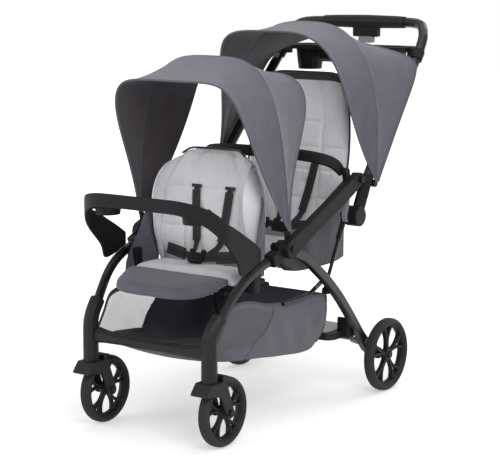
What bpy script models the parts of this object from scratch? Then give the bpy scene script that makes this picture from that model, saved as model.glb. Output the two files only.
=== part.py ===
"""Double sit and stand stroller: frame, wheels, fold linkage, trays, seats, canopies and basket.

Metres, +Z up, ground at Z = 0. The stroller faces -Y; +X is the seated child's left side.
Side views are drawn as (y, z) points in a datum frame whose Y zero lies between the two seats.
The assembly empty then shifts everything so that the origin is the middle of the footprint.
"""

import math

import bmesh
import bpy
from mathutils import Matrix, Vector

# Fits
GAP = 0.0003
BORE_FIT = 0.0003
RUN_FIT = 0.001

# Layers across the width, from the middle outwards, for the left side
LEG_INNER_X = 0.2265
LEG_THICK = 0.023
BAR_INNER_X = LEG_INNER_X + LEG_THICK + RUN_FIT
BAR_THICK = 0.025
BAR_OUTER_X = BAR_INNER_X + BAR_THICK
LEG_MID_X = LEG_INNER_X + LEG_THICK / 2

# Side view points of the fold linkage, (y, z)
HUB = Vector((-0.192, 0.512))
HANDLE_PIVOT = Vector((0.161, 0.666))
STRUT_PIVOT = Vector((0.148, 0.559))
STRUT_FOOT = Vector((0.062, 0.346))
PIN_RADIUS = 0.005

# Front wheels and casters
FRONT_WHEEL_RADIUS = 0.097
FRONT_WHEEL_WIDTH = 0.035
FRONT_TRACK = 0.206
STEM_Y = -0.485
CASTER_TRAIL = 0.059
STEM_RADIUS = 0.022
CROWN_TOP_Z = 0.190
CHEEK_THICK = 0.008
TYRE_CLEARANCE = 0.0035
STEM_PIN_RADIUS = 0.007
STEM_PIN_LENGTH = 0.070

# Rear wheels
REAR_WHEEL_RADIUS = 0.111
REAR_WHEEL_WIDTH = 0.035
REAR_TRACK = 0.2705
REAR_AXLE_Y = 0.326
AXLE_RADIUS = 0.006
TIE_ROD = Vector((0.2430, 0.1640))
TIE_ROD_RADIUS = 0.004

# Wheel details
TYRE_DEPTH = 0.017
RIM_WIDTH = 0.024
WHEEL_HUB_RADIUS = 0.017
SPOKE_PAIRS = 5
WHEEL_STEPS = 16

# Legs and bars
LEG_WIDTH = 0.026
REAR_FOOT_WIDTH = 0.036
REAR_HUB_RADIUS = 0.0225
BAR_WIDTH = 0.044
HUB_RADIUS = 0.027
BAR_END_RADIUS = 0.0195
FRONT_LEG_HALF = (0.0105, 0.0135)
LEG_FOOT_REACH = 0.007
HOUSING_INSERT = 0.034

# Handle
HANDLE_RADIUS = 0.0155
HANDLE_LOW_X = 0.2665
HANDLE_HIGH_X = 0.250
SLEEVE_RADIUS = 0.0185
STRUT_HUB_RADIUS = 0.030
STRUT_HUB_X = (0.240, 0.285)
EAR_X = (0.248, 0.2602)
GRIP_HALF_LENGTH = 0.150
GRIP_WALL = 0.0035
GRIP_SWELL = 0.10
HANDLE_TOP_Z = 1.101
HANDLE_KNEE_Z = 0.620
HANDLE_BACK_Y = 0.638

# Struts
STRUT_TOP_X = 0.2300
STRUT_FOOT_X = 0.2150
STRUT_FOOT_REACH = 0.0067
STRUT_RADIUS = 0.0055
STRUT_SLEEVE_RADIUS = 0.0085
STRUT_SLEEVE_LENGTH = 0.075

# Trays
CHILD_TRAY_HALF = 0.240
CHILD_TRAY_FRONT_Y = -0.532
CHILD_TRAY_TOP_Z = 0.674
CHILD_TRAY_BAND = 0.037
CHILD_TRAY_DEPTH = 0.120
TRAY_WALL = 0.004
TRAY_ARM_THICK = 0.008
TRAY_SWING_LIFT = 0.0008
TRAY_CORNER = 0.085
TRAY_SWING = Vector((-0.232, -0.345))
CUP_RADIUS = 0.038
CUP_DEPTH = 0.060
CHILD_CUP_X = 0.150
PARENT_TRAY_HALF = 0.226
PARENT_TRAY_Y = (0.478, 0.604)
PARENT_TRAY_TOP_Z = HANDLE_TOP_Z - 0.071
PARENT_CUP_X = 0.152
PARENT_CUP_DEPTH = 0.075

# Seats
FRONT_SEAT_HALF = 0.188
FRONT_SEAT_Y = (-0.345, -0.215)
FRONT_SEAT_Z = 0.418
FRONT_BACK_FOOT = Vector((-0.186, FRONT_SEAT_Z + GAP))
FRONT_BACK_TOP = Vector((-0.145, 0.765))
REAR_SEAT_HALF = 0.190
SEAT_EYE_X = 0.215
FRONT_BACK_HALF = SEAT_EYE_X - 0.027
REAR_SEAT_Y = (-0.020, 0.190)
REAR_SEAT_Z = 0.440
REAR_BACK_FOOT = Vector((0.2050, REAR_SEAT_Z + GAP))
REAR_BACK_TOP = Vector((0.298, 0.958))
BOARD_THICK = 0.006
SEAT_PAD_THICK = 0.034
BACK_PAD_THICK = 0.026

# Canopies: tip point, half width at the tips, and per bow (angle, reach, half width, squareness)
FABRIC = 0.0025
CANOPY_SEAM = 0.0008
CANOPY_STEPS = 16
FRONT_CANOPY_TIP = Vector((-0.191, 0.556))
FRONT_CANOPY_TIP_X = 0.262
FRONT_CANOPY_BOWS = (
    {"apex": 107.0, "side": 118.0, "reach": 0.432, "half": 0.228, "square": 4.4},
    {"apex": 89.0, "side": 89.0, "reach": 0.474, "half": 0.226, "square": 3.6},
    {"apex": 66.0, "side": 64.0, "reach": 0.436, "half": 0.216, "square": 4.4},
)
REAR_CANOPY_TIP = Vector((0.222, 0.648))
REAR_CANOPY_TIP_X = 0.2915
REAR_CANOPY_BOWS = (
    {"apex": 105.5, "side": 108.5, "reach": 0.456, "half": 0.260, "square": 3.6},
    {"apex": 81.0, "side": 74.0, "reach": 0.468, "half": 0.268, "square": 4.3},
    {"apex": 59.5, "side": 47.0, "reach": 0.474, "half": 0.2850, "square": 14.0},
)
CLIP_RADIUS = 0.011
CLIP_THICK = 0.006
DISC_THICK = 0.005

# Platform
PLATFORM_Y = (0.115, 0.262)
PLATFORM_TOP_Z = 0.206
PLATFORM_THICK = 0.024
DECK_THICK = 0.003
PLATFORM_HALF = 0.205

# Basket
BASKET_HALF = 0.2048
BASKET_WALL = 0.0025

SIDES = (("left", 1), ("right", -1))
TO_SIDE_VIEW = (math.pi / 2, 0, math.pi / 2)

PARTS = "sit_and_stand_stroller"
CUTTERS = "cutters"


def start_scene():
    """Empty the file and make the two collections and the assembly empty."""
    for old in list(bpy.data.objects):
        bpy.data.objects.remove(old)
    made = []
    for name in (PARTS, CUTTERS):
        collection = bpy.data.collections.new(name)
        bpy.context.scene.collection.children.link(collection)
        made.append(collection)
    empty = bpy.data.objects.new("assembly", None)
    made[0].objects.link(empty)
    front = CHILD_TRAY_FRONT_Y
    back = HANDLE_BACK_Y + (HANDLE_RADIUS + GRIP_WALL) * (1 + GRIP_SWELL)
    empty.location = (0, -(front + back) / 2, 0)
    return made[0], made[1], empty


parts, cutters, assembly = start_scene()
carriers = {}


def material(name, colour, roughness, metallic=0.0):
    """A Principled BSDF with the part's colour, roughness and metallic value."""
    made = bpy.data.materials.new(name)
    made.use_nodes = True
    shader = made.node_tree.nodes["Principled BSDF"]
    shader.inputs["Base Color"].default_value = (*colour, 1)
    shader.inputs["Roughness"].default_value = roughness
    shader.inputs["Metallic"].default_value = metallic
    return made


MATERIALS = {
    "black_plastic": material("black_plastic", (0.012, 0.012, 0.013), 0.45),
    "black_paint": material("black_paint", (0.010, 0.010, 0.011), 0.32),
    "tyre_rubber": material("tyre_rubber", (0.030, 0.030, 0.033), 0.75),
    "slate_fabric": material("slate_fabric", (0.105, 0.105, 0.132), 0.85),
    "light_fabric": material("light_fabric", (0.600, 0.610, 0.625), 0.90),
    "webbing": material("webbing", (0.014, 0.014, 0.016), 0.80),
    "grey_plastic": material("grey_plastic", (0.230, 0.250, 0.280), 0.45),
    "deck_grey": material("deck_grey", (0.170, 0.170, 0.175), 0.70),
    "foam": material("foam", (0.016, 0.015, 0.017), 0.85),
    "steel": material("steel", (0.450, 0.450, 0.460), 0.30, 1.0),
}


def carrier(name, point):
    """An empty on a joint's axis, which the moving pieces hang on."""
    empty = bpy.data.objects.new("axis_" + name, None)
    parts.objects.link(empty)
    empty.parent = assembly
    empty.location = point
    carriers[name] = empty
    return empty


def finish(obj, name, look, body=None, smooth_angle=35):
    """Name, colour and shade a piece, and hang it on its body's empty."""
    obj.name = name
    obj.data.name = name
    if obj.name not in parts.objects:
        for collection in list(obj.users_collection):
            collection.objects.unlink(obj)
        parts.objects.link(obj)
    obj.data.materials.clear()
    obj.data.materials.append(MATERIALS[look])
    obj.data.shade_smooth()
    obj.data.set_sharp_from_angle(angle=math.radians(smooth_angle))
    empty = carriers.get(body)
    if empty is None:
        obj.parent = assembly
    else:
        obj.parent = empty
        obj.location = obj.location - empty.location
    return obj


def mesh_object(bm, name="piece"):
    """Put a bmesh into a new object in the parts collection."""
    bmesh.ops.recalc_face_normals(bm, faces=bm.faces)
    mesh = bpy.data.meshes.new(name)
    bm.to_mesh(mesh)
    bm.free()
    obj = bpy.data.objects.new(name, mesh)
    parts.objects.link(obj)
    return obj


def curve_to_mesh(curve_obj):
    """Turn a capped curve into a closed mesh object with its place in its vertices."""
    bpy.context.view_layer.update()
    evaluated = curve_obj.evaluated_get(bpy.context.evaluated_depsgraph_get())
    mesh = bpy.data.meshes.new_from_object(evaluated)
    mesh.transform(curve_obj.matrix_world)
    bm = bmesh.new()
    bm.from_mesh(mesh)
    bmesh.ops.remove_doubles(bm, verts=bm.verts, dist=0.00002)
    bpy.data.objects.remove(curve_obj)
    return mesh_object(bm)


def smooth_path(points, steps=4):
    """Points along a Catmull-Rom curve through the given points."""
    known = [Vector(p) for p in points]
    known = [2 * known[0] - known[1], *known, 2 * known[-1] - known[-2]]
    path = []
    for a, b, c, d in zip(known, known[1:], known[2:], known[3:]):
        for k in range(steps):
            t = k / steps
            path.append(
                0.5 * (2 * b + (c - a) * t + (2 * a - 5 * b + 4 * c - d) * t * t
                       + (3 * b - a - 3 * c + d) * t * t * t)
            )
    return [*path, known[-2]]


def tube(points, radius, resolution=2, radii=None):
    """A round tube with filled caps along a list of points; radii scale it point by point."""
    curve = bpy.data.curves.new("tube", "CURVE")
    curve.dimensions = "3D"
    curve.bevel_depth = radius
    curve.bevel_resolution = resolution
    curve.use_fill_caps = True
    spline = curve.splines.new("POLY")
    spline.points.add(len(points) - 1)
    for k, (control, point) in enumerate(zip(spline.points, points)):
        control.co = (*point, 1)
        control.radius = radii[k] if radii else 1
    obj = bpy.data.objects.new("tube", curve)
    parts.objects.link(obj)
    return curve_to_mesh(obj)


def plate(outline, low, high, holes=(), view=TO_SIDE_VIEW, bevel=0.0, segments=1):
    """A flat outline with holes, extruded from low to high along the view's normal."""
    curve = bpy.data.curves.new("plate", "CURVE")
    curve.dimensions = "2D"
    curve.fill_mode = "BOTH"
    curve.extrude = (high - low) / 2
    for loop in (outline, *holes):
        spline = curve.splines.new("POLY")
        spline.points.add(len(loop) - 1)
        for control, point in zip(spline.points, loop):
            control.co = (point[0], point[1], 0, 1)
        spline.use_cyclic_u = True
    obj = bpy.data.objects.new("plate", curve)
    parts.objects.link(obj)
    obj.rotation_euler = view
    normal = Matrix.Rotation(0, 3, "X")
    if view == TO_SIDE_VIEW:
        normal = Vector((1, 0, 0))
    elif view == (0, 0, 0):
        normal = Vector((0, 0, 1))
    else:
        normal = Vector((0, -1, 0))
    obj.location = normal * ((low + high) / 2)
    made = curve_to_mesh(obj)
    if bevel:
        round_edges(made, bevel, segments)
    return made


def round_edges(obj, width, segments=2, angle=35):
    """A Bevel modifier on the sharp edges."""
    bevel = obj.modifiers.new("rounded", "BEVEL")
    bevel.width = width
    bevel.segments = segments
    bevel.limit_method = "ANGLE"
    bevel.angle_limit = math.radians(angle)
    return obj


def arc(centre, radius, start, end, steps):
    """Points on an arc, angles in degrees, both ends included."""
    found = []
    for k in range(steps + 1):
        a = math.radians(start + (end - start) * k / steps)
        found.append(Vector((centre[0] + radius * math.cos(a), centre[1] + radius * math.sin(a))))
    return found


def ribbon_edges(path, widths):
    """The left and right edge of a band along a (y, z) path."""
    left, right = [], []
    for k, point in enumerate(path):
        width = widths[k]
        before = path[max(k - 1, 0)]
        after = path[min(k + 1, len(path) - 1)]
        along = (Vector(after) - Vector(before)).normalized()
        across = Vector((-along.y, along.x)) * width / 2
        left.append(Vector(point) + across)
        right.append(Vector(point) - across)
    return left, right


def ribbon_outline(path, width):
    """The edges of a band of constant width, as one loop."""
    left, right = ribbon_edges(path, [width] * len(path))
    return left + right[::-1]


def cylinder_x(centre, radius, low, high, segments=24):
    """A cylinder along X, centred on a (y, z) point."""
    bm = bmesh.new()
    turn = Matrix.Rotation(math.pi / 2, 4, "Y")
    place = Matrix.Translation(((low + high) / 2, centre[0], centre[1]))
    bmesh.ops.create_cone(
        bm, cap_ends=True, segments=segments, radius1=radius, radius2=radius,
        depth=abs(high - low), matrix=place @ turn,
    )
    return mesh_object(bm)


def cylinder_z(x, y, radius, low, high, segments=24, top_radius=None):
    """A cylinder or cone along Z."""
    bm = bmesh.new()
    bmesh.ops.create_cone(
        bm, cap_ends=True, segments=segments, radius1=radius,
        radius2=radius if top_radius is None else top_radius, depth=high - low,
        matrix=Matrix.Translation((x, y, (low + high) / 2)),
    )
    return mesh_object(bm)


def block(low, high, bevel=0.0, segments=1):
    """A box between two corners, with rounded edges if asked."""
    bm = bmesh.new()
    size = [b - a for a, b in zip(low, high)]
    middle = [(a + b) / 2 for a, b in zip(low, high)]
    bmesh.ops.create_cube(bm, size=1, matrix=Matrix.Translation(middle) @ Matrix.Diagonal((*size, 1)))
    made = mesh_object(bm)
    if bevel:
        round_edges(made, bevel, segments)
    return made


def combine(obj, tool, operation):
    """One Boolean with the exact solver; the tool is hidden away with the cutters."""
    modifier = obj.modifiers.new(operation.lower(), "BOOLEAN")
    modifier.operation = operation
    modifier.object = tool
    tool.name = "cutter"
    for collection in list(tool.users_collection):
        collection.objects.unlink(tool)
    cutters.objects.link(tool)
    tool.hide_render = True
    tool.display_type = "WIRE"
    return obj


def settle(obj):
    """Apply the modifiers of a piece in place, and drop the tools that it used."""
    bpy.context.view_layer.update()
    evaluated = obj.evaluated_get(bpy.context.evaluated_depsgraph_get())
    mesh = bpy.data.meshes.new_from_object(evaluated)
    used = [m.object for m in obj.modifiers if m.type == "BOOLEAN"]
    obj.modifiers.clear()
    obj.data = mesh
    for tool in used:
        bpy.data.objects.remove(tool)
    return obj


def cut(obj, *tools):
    """Take the tools away from a piece."""
    for tool in tools:
        combine(obj, tool, "DIFFERENCE")
    return settle(obj)


def fuse(obj, *tools):
    """Join overlapping solids into one body."""
    for tool in tools:
        combine(obj, tool, "UNION")
    return settle(obj)


def turned(profile, steps=36):
    """A closed (radius, x) profile turned about X with a Screw modifier."""
    bm = bmesh.new()
    ring = [bm.verts.new((radius, 0, x)) for radius, x in profile]
    for a, b in zip(ring, ring[1:] + ring[:1]):
        bm.edges.new((a, b))
    mesh = bpy.data.meshes.new("turned")
    bm.to_mesh(mesh)
    bm.free()
    obj = bpy.data.objects.new("turned", mesh)
    parts.objects.link(obj)
    screw = obj.modifiers.new("turn", "SCREW")
    screw.steps = steps
    screw.render_steps = steps
    screw.use_merge_vertices = True
    screw.merge_threshold = 0.00005
    settle(obj)
    obj.data.transform(Matrix.Rotation(math.pi / 2, 4, "Y"))
    bm = bmesh.new()
    bm.from_mesh(obj.data)
    bpy.data.objects.remove(obj)
    return mesh_object(bm)


def section_sweep(rings):
    """A closed solid through rings of points, capped at both ends, for unlike sections."""
    bm = bmesh.new()
    rows = [[bm.verts.new(point) for point in ring] for ring in rings]
    for near, far in zip(rows, rows[1:]):
        for k in range(len(near)):
            n = (k + 1) % len(near)
            bm.faces.new((near[k], near[n], far[n], far[k]))
    bm.faces.new(rows[0])
    bm.faces.new(rows[-1])
    return mesh_object(bm)


def rounded_section(half_a, half_b, corner, steps=2):
    """Points of a rounded rectangle, counter-clockwise, in its own two directions."""
    found = []
    for index, (sa, sb) in enumerate(((1, 1), (-1, 1), (-1, -1), (1, -1))):
        centre = (sa * (half_a - corner), sb * (half_b - corner))
        found += arc(centre, corner, 90 * index, 90 * index + 90, steps)
    return found


def band_along(path, section, across_at=None):
    """Sweep a section along a 3-D path; its second direction stays as near as it can to +Z."""
    rings = []
    for k, point in enumerate(path):
        before = Vector(path[max(k - 1, 0)])
        after = Vector(path[min(k + 1, len(path) - 1)])
        along = (after - before).normalized()
        side = along.cross(Vector((0, 0, 1))) if across_at is None else Vector(across_at)
        side = (side - along * side.dot(along)).normalized()
        up = side.cross(along).normalized()
        rings.append([Vector(point) + side * a + up * b for a, b in section])
    return section_sweep(rings)


def sided(points, side):
    """Mirror a left side path to the asked side."""
    return [Vector((p[0] * side, p[1], p[2])) for p in points]


def span(side, low, high):
    """An X range of the left side, on the asked side, lowest first."""
    return (low, high) if side > 0 else (-high, -low)


# Frame paths, left side
REAR_LEG_PATH = smooth_path(
    [(HUB.x, HUB.y), (-0.087, 0.472), (-0.014, 0.422), (0.046, 0.376), (0.108, 0.319),
     (0.172, 0.249), (0.220, 0.192), (0.254, 0.151)], 2)
# a front leg runs from the hub's plane to the caster stem's: share of the way across, y, z
FRONT_LEG_POINTS = [
    (LEG_MID_X + (FRONT_TRACK + LEG_FOOT_REACH - LEG_MID_X) * share, y, z) for share, y, z in (
        (0, -0.222, 0.4915), (0.02, -0.252, 0.4835), (0.12, -0.300, 0.4705), (0.28, -0.345, 0.4500),
        (0.50, -0.383, 0.4230), (0.74, -0.413, 0.3920), (0.92, -0.439, 0.3580), (1, -0.452, 0.3380))
]
# the handle's left half: x, y and the share of the way from its knee to its top
HANDLE_POINTS = [
    (x, y, HANDLE_KNEE_Z + (HANDLE_TOP_Z - HANDLE_KNEE_Z) * share) for x, y, share in (
        (HANDLE_LOW_X, 0.1842, 0), (HANDLE_LOW_X, 0.2010, 0.0686), (0.2655, 0.2380, 0.1663),
        (0.2625, 0.3200, 0.3472), (0.2580, 0.4000, 0.5260), (0.2530, 0.4900, 0.7277),
        (HANDLE_HIGH_X, 0.5420, 0.8482), (0.2460, 0.5660, 0.9189), (0.2310, 0.5870, 0.9730),
        (0.2050, 0.6050, 0.9948), (0.1500, 0.6240, 1), (0.0750, 0.6350, 1), (0.0, HANDLE_BACK_Y, 1))
]
# the straight run between the hub and the grip needs no points in between
HANDLE_PATH = [p for k, p in enumerate(smooth_path(HANDLE_POINTS, 2)) if k % 2 == 0 or not 0.1 < (p.z - HANDLE_KNEE_Z) / (HANDLE_TOP_Z - HANDLE_KNEE_Z) < 0.79]


def along_handle(y):
    """The point of the handle's left half at a given y."""
    for a, b in zip(HANDLE_PATH, HANDLE_PATH[1:]):
        if a.y <= y <= b.y:
            return a.lerp(b, (y - a.y) / (b.y - a.y))
    return HANDLE_PATH[-1]


def handle_y_at(z):
    """The y of the handle's left half at a given height."""
    for a, b in zip(HANDLE_PATH, HANDLE_PATH[1:]):
        if a.z <= z <= b.z:
            return a.y + (b.y - a.y) * (z - a.z) / (b.z - a.z)
    return HANDLE_BACK_Y


def housing_path(side):
    """The caster housing's centre line: up the stem, then bending on to the front leg."""
    x = FRONT_TRACK * side
    return [
        (x, STEM_Y, CROWN_TOP_Z + GAP), (x, STEM_Y, 0.205), (x, STEM_Y, 0.255), (x, STEM_Y, 0.285),
        (x, STEM_Y + 0.002, 0.304), (x + 0.001 * side, STEM_Y + 0.009, 0.322),
        (x + 0.003 * side, STEM_Y + 0.020, 0.337), (x + 0.0067 * side, STEM_Y + 0.0385, 0.3565),
    ]


def make_carriers():
    """One empty on each joint's axis."""
    carrier("handle", (0, *HANDLE_PIVOT))
    carrier("rear_frame", (0, *HUB))
    carrier("struts", (0, *STRUT_PIVOT))
    carrier("front_canopy", (0, *FRONT_CANOPY_TIP))
    carrier("rear_canopy", (0, *REAR_CANOPY_TIP))
    carrier("front_backrest", (0, *FRONT_BACK_FOOT))
    carrier("rear_backrest", (0, *REAR_BACK_FOOT))
    carrier("child_tray", (TRAY_SWING.x, TRAY_SWING.y, CHILD_TRAY_TOP_Z))
    carrier("belly_bar", (0, *BELLY_BAR_PIVOT))
    carrier("brake", (0, *TIE_ROD))
    carrier("latches", (0, *LATCH_PIVOT))
    carrier("fold_trigger", (0, HANDLE_BACK_Y, TRIGGER_TOP_Z))
    for name, side in SIDES:
        x = FRONT_TRACK * side
        carrier("caster_" + name, (x, STEM_Y, CROWN_TOP_Z))
        carrier("front_wheel_" + name, (x, STEM_Y + CASTER_TRAIL, FRONT_WHEEL_RADIUS))
        carrier("rear_wheel_" + name, (REAR_TRACK * side, REAR_AXLE_Y, REAR_WHEEL_RADIUS))
        carrier("swivel_lock_" + name, (x, *LOCK_PIVOT))


BELLY_BAR_PIVOT = Vector((0.118, 0.690))
TRIGGER_TOP_Z = HANDLE_TOP_Z - 0.040
LOCK_PIVOT = Vector((STEM_Y + 0.034, CROWN_TOP_Z + 0.0075))
LOCK_EAR_RADIUS = 0.0060
LOCK_HALF = 0.0195
LATCH_PIVOT = STRUT_PIVOT


def make_front_frame():
    """Front legs, caster housings, crossbar and side bars, all fixed to each other."""
    section = rounded_section(*FRONT_LEG_HALF, 0.009, 2)
    path = smooth_path(FRONT_LEG_POINTS, 2)
    for name, side in SIDES:
        leg = band_along(sided(path, side), section, across_at=(1, 0, 0))
        finish(leg, "front_leg_" + name, "black_paint")
        wider = rounded_section(FRONT_LEG_HALF[0] + BORE_FIT, FRONT_LEG_HALF[1] + BORE_FIT, 0.009, 2)
        line = housing_path(side)
        radii = [1.0, 1.0, 0.98, 0.97, 0.96, 0.95, 0.95, 0.96]
        housing = tube(line, STEM_RADIUS, 3, radii)
        extended = [*path[:-1], path[-1]]
        socket = band_along(sided(extended, side), wider, across_at=(1, 0, 0))
        x = FRONT_TRACK * side
        bore = cylinder_z(x, STEM_Y, STEM_PIN_RADIUS + BORE_FIT, CROWN_TOP_Z - 0.01,
                          CROWN_TOP_Z + STEM_PIN_LENGTH + RUN_FIT, 12)
        cut(housing, socket, bore)
        finish(housing, "caster_housing_" + name, "black_plastic")
        make_side_bar(name, side, sided(path, side), wider)
    make_crossbar()


def make_side_bar(name, side, leg_path, leg_section):
    """The flat moulded bar from the hub to the handle pivot, with a socket for the front leg."""
    along = (HANDLE_PIVOT - HUB).normalized()
    across = Vector((-along.y, along.x))
    half = BAR_WIDTH / 2
    angle = math.degrees(math.atan2(along.y, along.x))
    outline = arc(HUB, HUB_RADIUS, angle + 75, angle + 285, 8)
    outline += [HUB + along * 0.075 - across * half * 1.02, HUB + along * 0.20 - across * half]
    outline += [HANDLE_PIVOT - along * 0.06 - across * half]
    outline += arc(HANDLE_PIVOT, BAR_END_RADIUS, angle - 85, angle + 85, 6)
    outline += [HANDLE_PIVOT - along * 0.06 + across * half, HUB + along * 0.20 + across * half]
    outline += [HUB + along * 0.075 + across * half * 1.02]
    low, high = span(side, BAR_INNER_X, BAR_OUTER_X)
    bar = plate(outline, low, high, bevel=0.0045)
    # moulded socket that takes the front leg's end, inboard of the bar and ahead of the rear leg's boss
    lug_low, lug_high = span(side, LEG_INNER_X - 0.0025, BAR_INNER_X + 0.006)
    lug_outline = ribbon_outline([Vector((-0.2245, 0.4925)), Vector((-0.240, 0.4885)), Vector((-0.2560, 0.4835))], 0.036)
    lug = plate(lug_outline, lug_low, lug_high, bevel=0.002, segments=1)
    settle(bar)
    settle(lug)
    tongue = plate(ribbon_outline([HUB + Vector((-0.010, -0.004)), Vector((-0.2540, 0.4840))], 0.034),
                   *span(side, BAR_INNER_X + 0.0003, BAR_INNER_X + 0.007))
    lug_root = BELLY_BAR_PIVOT + Vector((0.010, -0.038))
    stalk = plate(ribbon_outline([lug_root, BELLY_BAR_PIVOT], 0.022), *span(side, 0.2420, BAR_INNER_X + 0.0055))
    boss = cylinder_x(BELLY_BAR_PIVOT, 0.0120, *span(side, 0.2410, BAR_INNER_X + 0.006), 16)
    clip = plate(ribbon_outline([HUB, FRONT_CANOPY_TIP], 0.019), *span(side, BAR_INNER_X + 0.0010, 0.2578))
    clip_eye = cylinder_x(FRONT_CANOPY_TIP, CLIP_RADIUS, *span(side, BAR_INNER_X + 0.0004, 0.2587), 12)
    fuse(bar, tongue, lug, stalk, boss, clip, clip_eye)
    socket = band_along(leg_path, leg_section, across_at=(1, 0, 0))
    pin_hole = cylinder_x(HUB, PIN_RADIUS + BORE_FIT, *span(side, BAR_INNER_X - 0.01, BAR_OUTER_X + 0.01), 12)
    pivot_hole = cylinder_x(HANDLE_PIVOT, PIN_RADIUS + BORE_FIT,
                            *span(side, BAR_INNER_X - 0.01, BAR_OUTER_X + 0.01), 12)
    recess = cylinder_x(HANDLE_PIVOT, BAR_END_RADIUS + RUN_FIT + 0.0004,
                        *span(side, BAR_INNER_X - 0.01, EAR_X[1] + GAP), 16)
    cut(bar, socket, pin_hole, pivot_hole, recess)
    finish(bar, "side_bar_" + name, "black_plastic")


def make_crossbar():
    """The moulded bar between the caster housings, deeper at its ends."""
    reach = FRONT_TRACK - 0.004
    top, bottom = [], []
    steps = 8
    for k in range(steps + 1):
        u = -1 + 2 * k / steps
        top.append(Vector((u * reach, 0.2745 + 0.0140 * u ** 4)))
        bottom.append(Vector((u * reach, 0.2490 - 0.0060 * u ** 4)))
    front_view = (math.pi / 2, 0, 0)
    bar = plate(top + bottom[::-1], 0.462, 0.492, view=front_view, bevel=0.006)
    settle(bar)
    tools = []
    for _, side in SIDES:
        tools.append(tube(housing_path(side), STEM_RADIUS + GAP, 3, [1.0, 1.0, 0.98, 0.97, 0.96, 0.95, 0.95, 0.96]))
    cut(bar, *tools)
    finish(bar, "front_crossbar", "black_plastic")


def wheel(name, body, radius, width, x, y, z):
    """A tyre and a rim with twin spokes, turning about X."""
    rim_radius = radius - TYRE_DEPTH
    half = width / 2
    tyre = turned([
        (rim_radius, half * 0.72), (rim_radius + TYRE_DEPTH * 0.5, half), (radius, half * 0.48),
        (radius, -half * 0.48), (rim_radius + TYRE_DEPTH * 0.5, -half), (rim_radius, -half * 0.72),
    ], WHEEL_STEPS)
    ring = rim_radius - 0.010
    plate_half = RIM_WIDTH * 0.30
    holes = []
    pitch = 360 / SPOKE_PAIRS
    for k in range(SPOKE_PAIRS):
        middle = 90 + pitch * (k + 0.5)
        wide = arc((0, 0), ring, middle - pitch * 0.285, middle + pitch * 0.285, 2)
        narrow = arc((0, 0), WHEEL_HUB_RADIUS + 0.003, middle + pitch * 0.17, middle - pitch * 0.17, 1)
        holes.append(wide + narrow)
        pair = 90 + pitch * k
        slot_out = arc((0, 0), ring, pair - pitch * 0.085, pair + pitch * 0.085, 1)
        slot_in = arc((0, 0), WHEEL_HUB_RADIUS + 0.012, pair + pitch * 0.045, pair - pitch * 0.045, 1)
        holes.append(slot_out + slot_in)
    outline = arc((0, 0), ring + 0.004, 0, 360 - 360 / WHEEL_STEPS, WHEEL_STEPS - 1)
    disc = plate(outline, -plate_half, plate_half, holes=holes)
    rim_half = RIM_WIDTH / 2
    band = turned([
        (rim_radius - GAP, rim_half), (rim_radius - GAP, -rim_half), (ring + 0.001, -rim_half * 0.8),
        (ring + 0.001, rim_half * 0.8),
    ], WHEEL_STEPS)
    hub = cylinder_x((0, 0), WHEEL_HUB_RADIUS, -rim_half - 0.001, rim_half + 0.001, 14)
    fuse(disc, band, hub)
    bore = cylinder_x((0, 0), AXLE_RADIUS + BORE_FIT, -0.05, 0.05, 12)
    cut(disc, bore)
    for piece, title, look in ((tyre, "tyre_", "tyre_rubber"), (disc, "rim_", "black_plastic")):
        piece.data.transform(Matrix.Translation((x, y, z)))
        finish(piece, name.replace("wheel_", title), look, body)


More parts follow.
